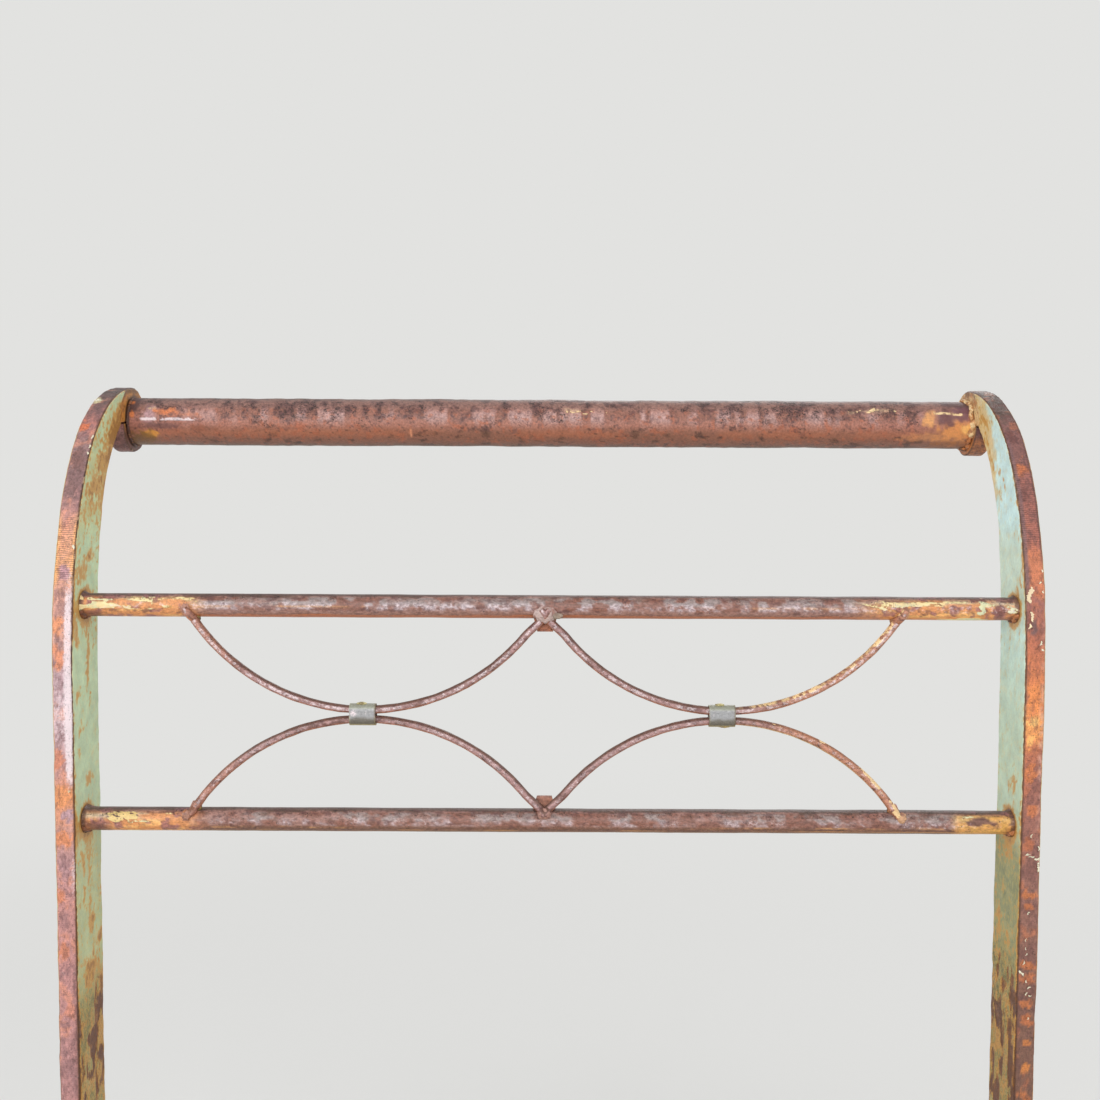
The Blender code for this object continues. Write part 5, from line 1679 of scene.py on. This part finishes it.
class CHAIR_OT_stage(bpy.types.Operator):
    """Set the camera, the lamps, the pale floor and the pale surroundings"""

    bl_idname = "chair.stage"
    bl_label = "Stage"

    def execute(self, context):
        scene = context.scene
        stage = scene.chair_stage
        scene.view_settings.view_transform = "Standard"
        self.add_camera(scene)
        key, fill = stage.key_power, stage.fill_power
        add_lamp("key_lamp", (-0.5, -2.3, 1.95), (0, 0.2, 0.72), (1.8, 0.9), key)
        add_lamp("left_fill", (-2.2, -0.6, 1.4), (0, 0.1, 0.6), (1.2, 1.2), fill)
        add_lamp("right_fill", (2.2, -0.4, 1.5), (0, 0.1, 0.6), (1.2, 1.2), fill)
        add_lamp("rear_lamp", (0.6, 2.4, 2.0), (0, 0.1, 0.6), (1.6, 1.2), fill)
        tone = linear(stage.backdrop)
        self.light_surroundings(scene, tone, stage.sky_strength)
        self.lay_floor(scene, tone)
        return {"FINISHED"}

    def add_camera(self, scene):
        """Camera in front of the chair, level with the top tube and looking slightly down."""
        data = bpy.data.cameras.new("camera")
        data.sensor_width = 36
        data.lens = CAMERA_LENS
        data.clip_start = 0.01
        camera = bpy.data.objects.new("camera", data)
        scene.collection.objects.link(camera)
        turn = Matrix.Rotation(math.pi / 2 - CAMERA_DOWN, 4, "X") @ Matrix.Rotation(CAMERA_ROLL, 4, "Z")
        camera.matrix_world = Matrix.Translation(CAMERA_PLACE) @ turn
        scene.camera = camera

    def light_surroundings(self, scene, tone, strength):
        """Even light on the chair, and a pale tone where the surroundings are seen or mirrored."""
        world = bpy.data.worlds.new("pale_studio")
        n = Nodes(world)
        rays = n.add("ShaderNodeLightPath").outputs
        seen = n.math("MAXIMUM", rays["Is Camera Ray"], rays["Is Glossy Ray"])
        blend = n.add("ShaderNodeMixShader")
        n.feed(blend.inputs[0], n.math("MAXIMUM", seen, rays["Is Transmission Ray"]))
        for socket, colour, power in ((1, (1.0, 1.0, 1.0), strength), (2, tone, 1.0)):
            glow = n.add("ShaderNodeBackground")
            n.feed(glow.inputs["Color"], colour)
            n.feed(glow.inputs["Strength"], power)
            n.feed(blend.inputs[socket], glow.outputs[0])
        n.feed(n.tree.nodes["World Output"].inputs["Surface"], blend.outputs[0])
        scene.world = world

    def lay_floor(self, scene, tone):
        """Floor that keeps the chair's shadow and fades into the surroundings further out."""
        material = bpy.data.materials.new("pale_floor")
        n = Nodes(material)
        n.feed(n.shader.inputs["Base Color"], tone)
        n.shader.inputs["Roughness"].default_value = 0.9
        glow = n.add("ShaderNodeEmission")
        n.feed(glow.inputs["Color"], tone)
        distance = n.add("ShaderNodeVectorMath", operation="LENGTH")
        n.feed(distance.inputs[0], n.coordinates)
        blend = n.add("ShaderNodeMixShader")
        n.feed(blend.inputs[0], n.ramp(distance.outputs["Value"], 0.75, 2.2))
        n.feed(blend.inputs[1], n.shader.outputs[0])
        n.feed(blend.inputs[2], glow.outputs[0])
        output = n.tree.nodes["Material Output"]
        n.feed(output.inputs["Surface"], blend.outputs[0])
        mesh = bpy.data.meshes.new("studio_floor")
        reach = 40
        corners = [(-reach, -reach, 0), (reach, -reach, 0), (reach, reach, 0), (-reach, reach, 0)]
        mesh.from_pydata(corners, [], [(0, 1, 2, 3)])
        mesh.materials.append(material)
        floor = bpy.data.objects.new("studio_floor", mesh)
        floor.location.z = -0.0006
        scene.collection.objects.link(floor)


OPERATORS = (
    CHAIR_OT_stage,
    CHAIR_OT_side_posts,
    CHAIR_OT_top_tube,
    CHAIR_OT_back_rods,
    CHAIR_OT_curved_rods,
    CHAIR_OT_clips,
    CHAIR_OT_tabs,
    CHAIR_OT_welds,
    CHAIR_OT_flakes,
    CHAIR_OT_legs_and_rails,
    CHAIR_OT_slats,
    CHAIR_OT_stretchers,
)
GROUPS = {
    "chair_paint": PaintColours,
    "chair_rust": RustColours,
    "chair_wear": SurfaceWear,
    "chair_stage": StageSettings,
}


class CHAIR_PT_dressing(bpy.types.Panel):
    """Lists the chair's pieces and their settings"""

    bl_idname = "CHAIR_PT_dressing"
    bl_label = "Weathered chair"
    bl_space_type = "VIEW_3D"
    bl_region_type = "UI"
    bl_category = "Chair"

    def draw(self, context):
        layout = self.layout
        for name, group in GROUPS.items():
            box = layout.box()
            for key in group.__annotations__:
                box.prop(getattr(context.scene, name), key)
        for operator in OPERATORS:
            layout.operator(operator.bl_idname)


def register():
    for kind in (*GROUPS.values(), *OPERATORS, CHAIR_PT_dressing):
        bpy.utils.register_class(kind)
    for name, group in GROUPS.items():
        setattr(bpy.types.Scene, name, PointerProperty(type=group))


def unregister():
    for name in GROUPS:
        delattr(bpy.types.Scene, name)
    for kind in reversed((*GROUPS.values(), *OPERATORS, CHAIR_PT_dressing)):
        bpy.utils.unregister_class(kind)


def main():
    """Builds the stage and every piece."""
    register()
    for operator in OPERATORS:
        family, name = operator.bl_idname.split(".")
        getattr(getattr(bpy.ops, family), name)()


if __name__ == "__main__":
    main()
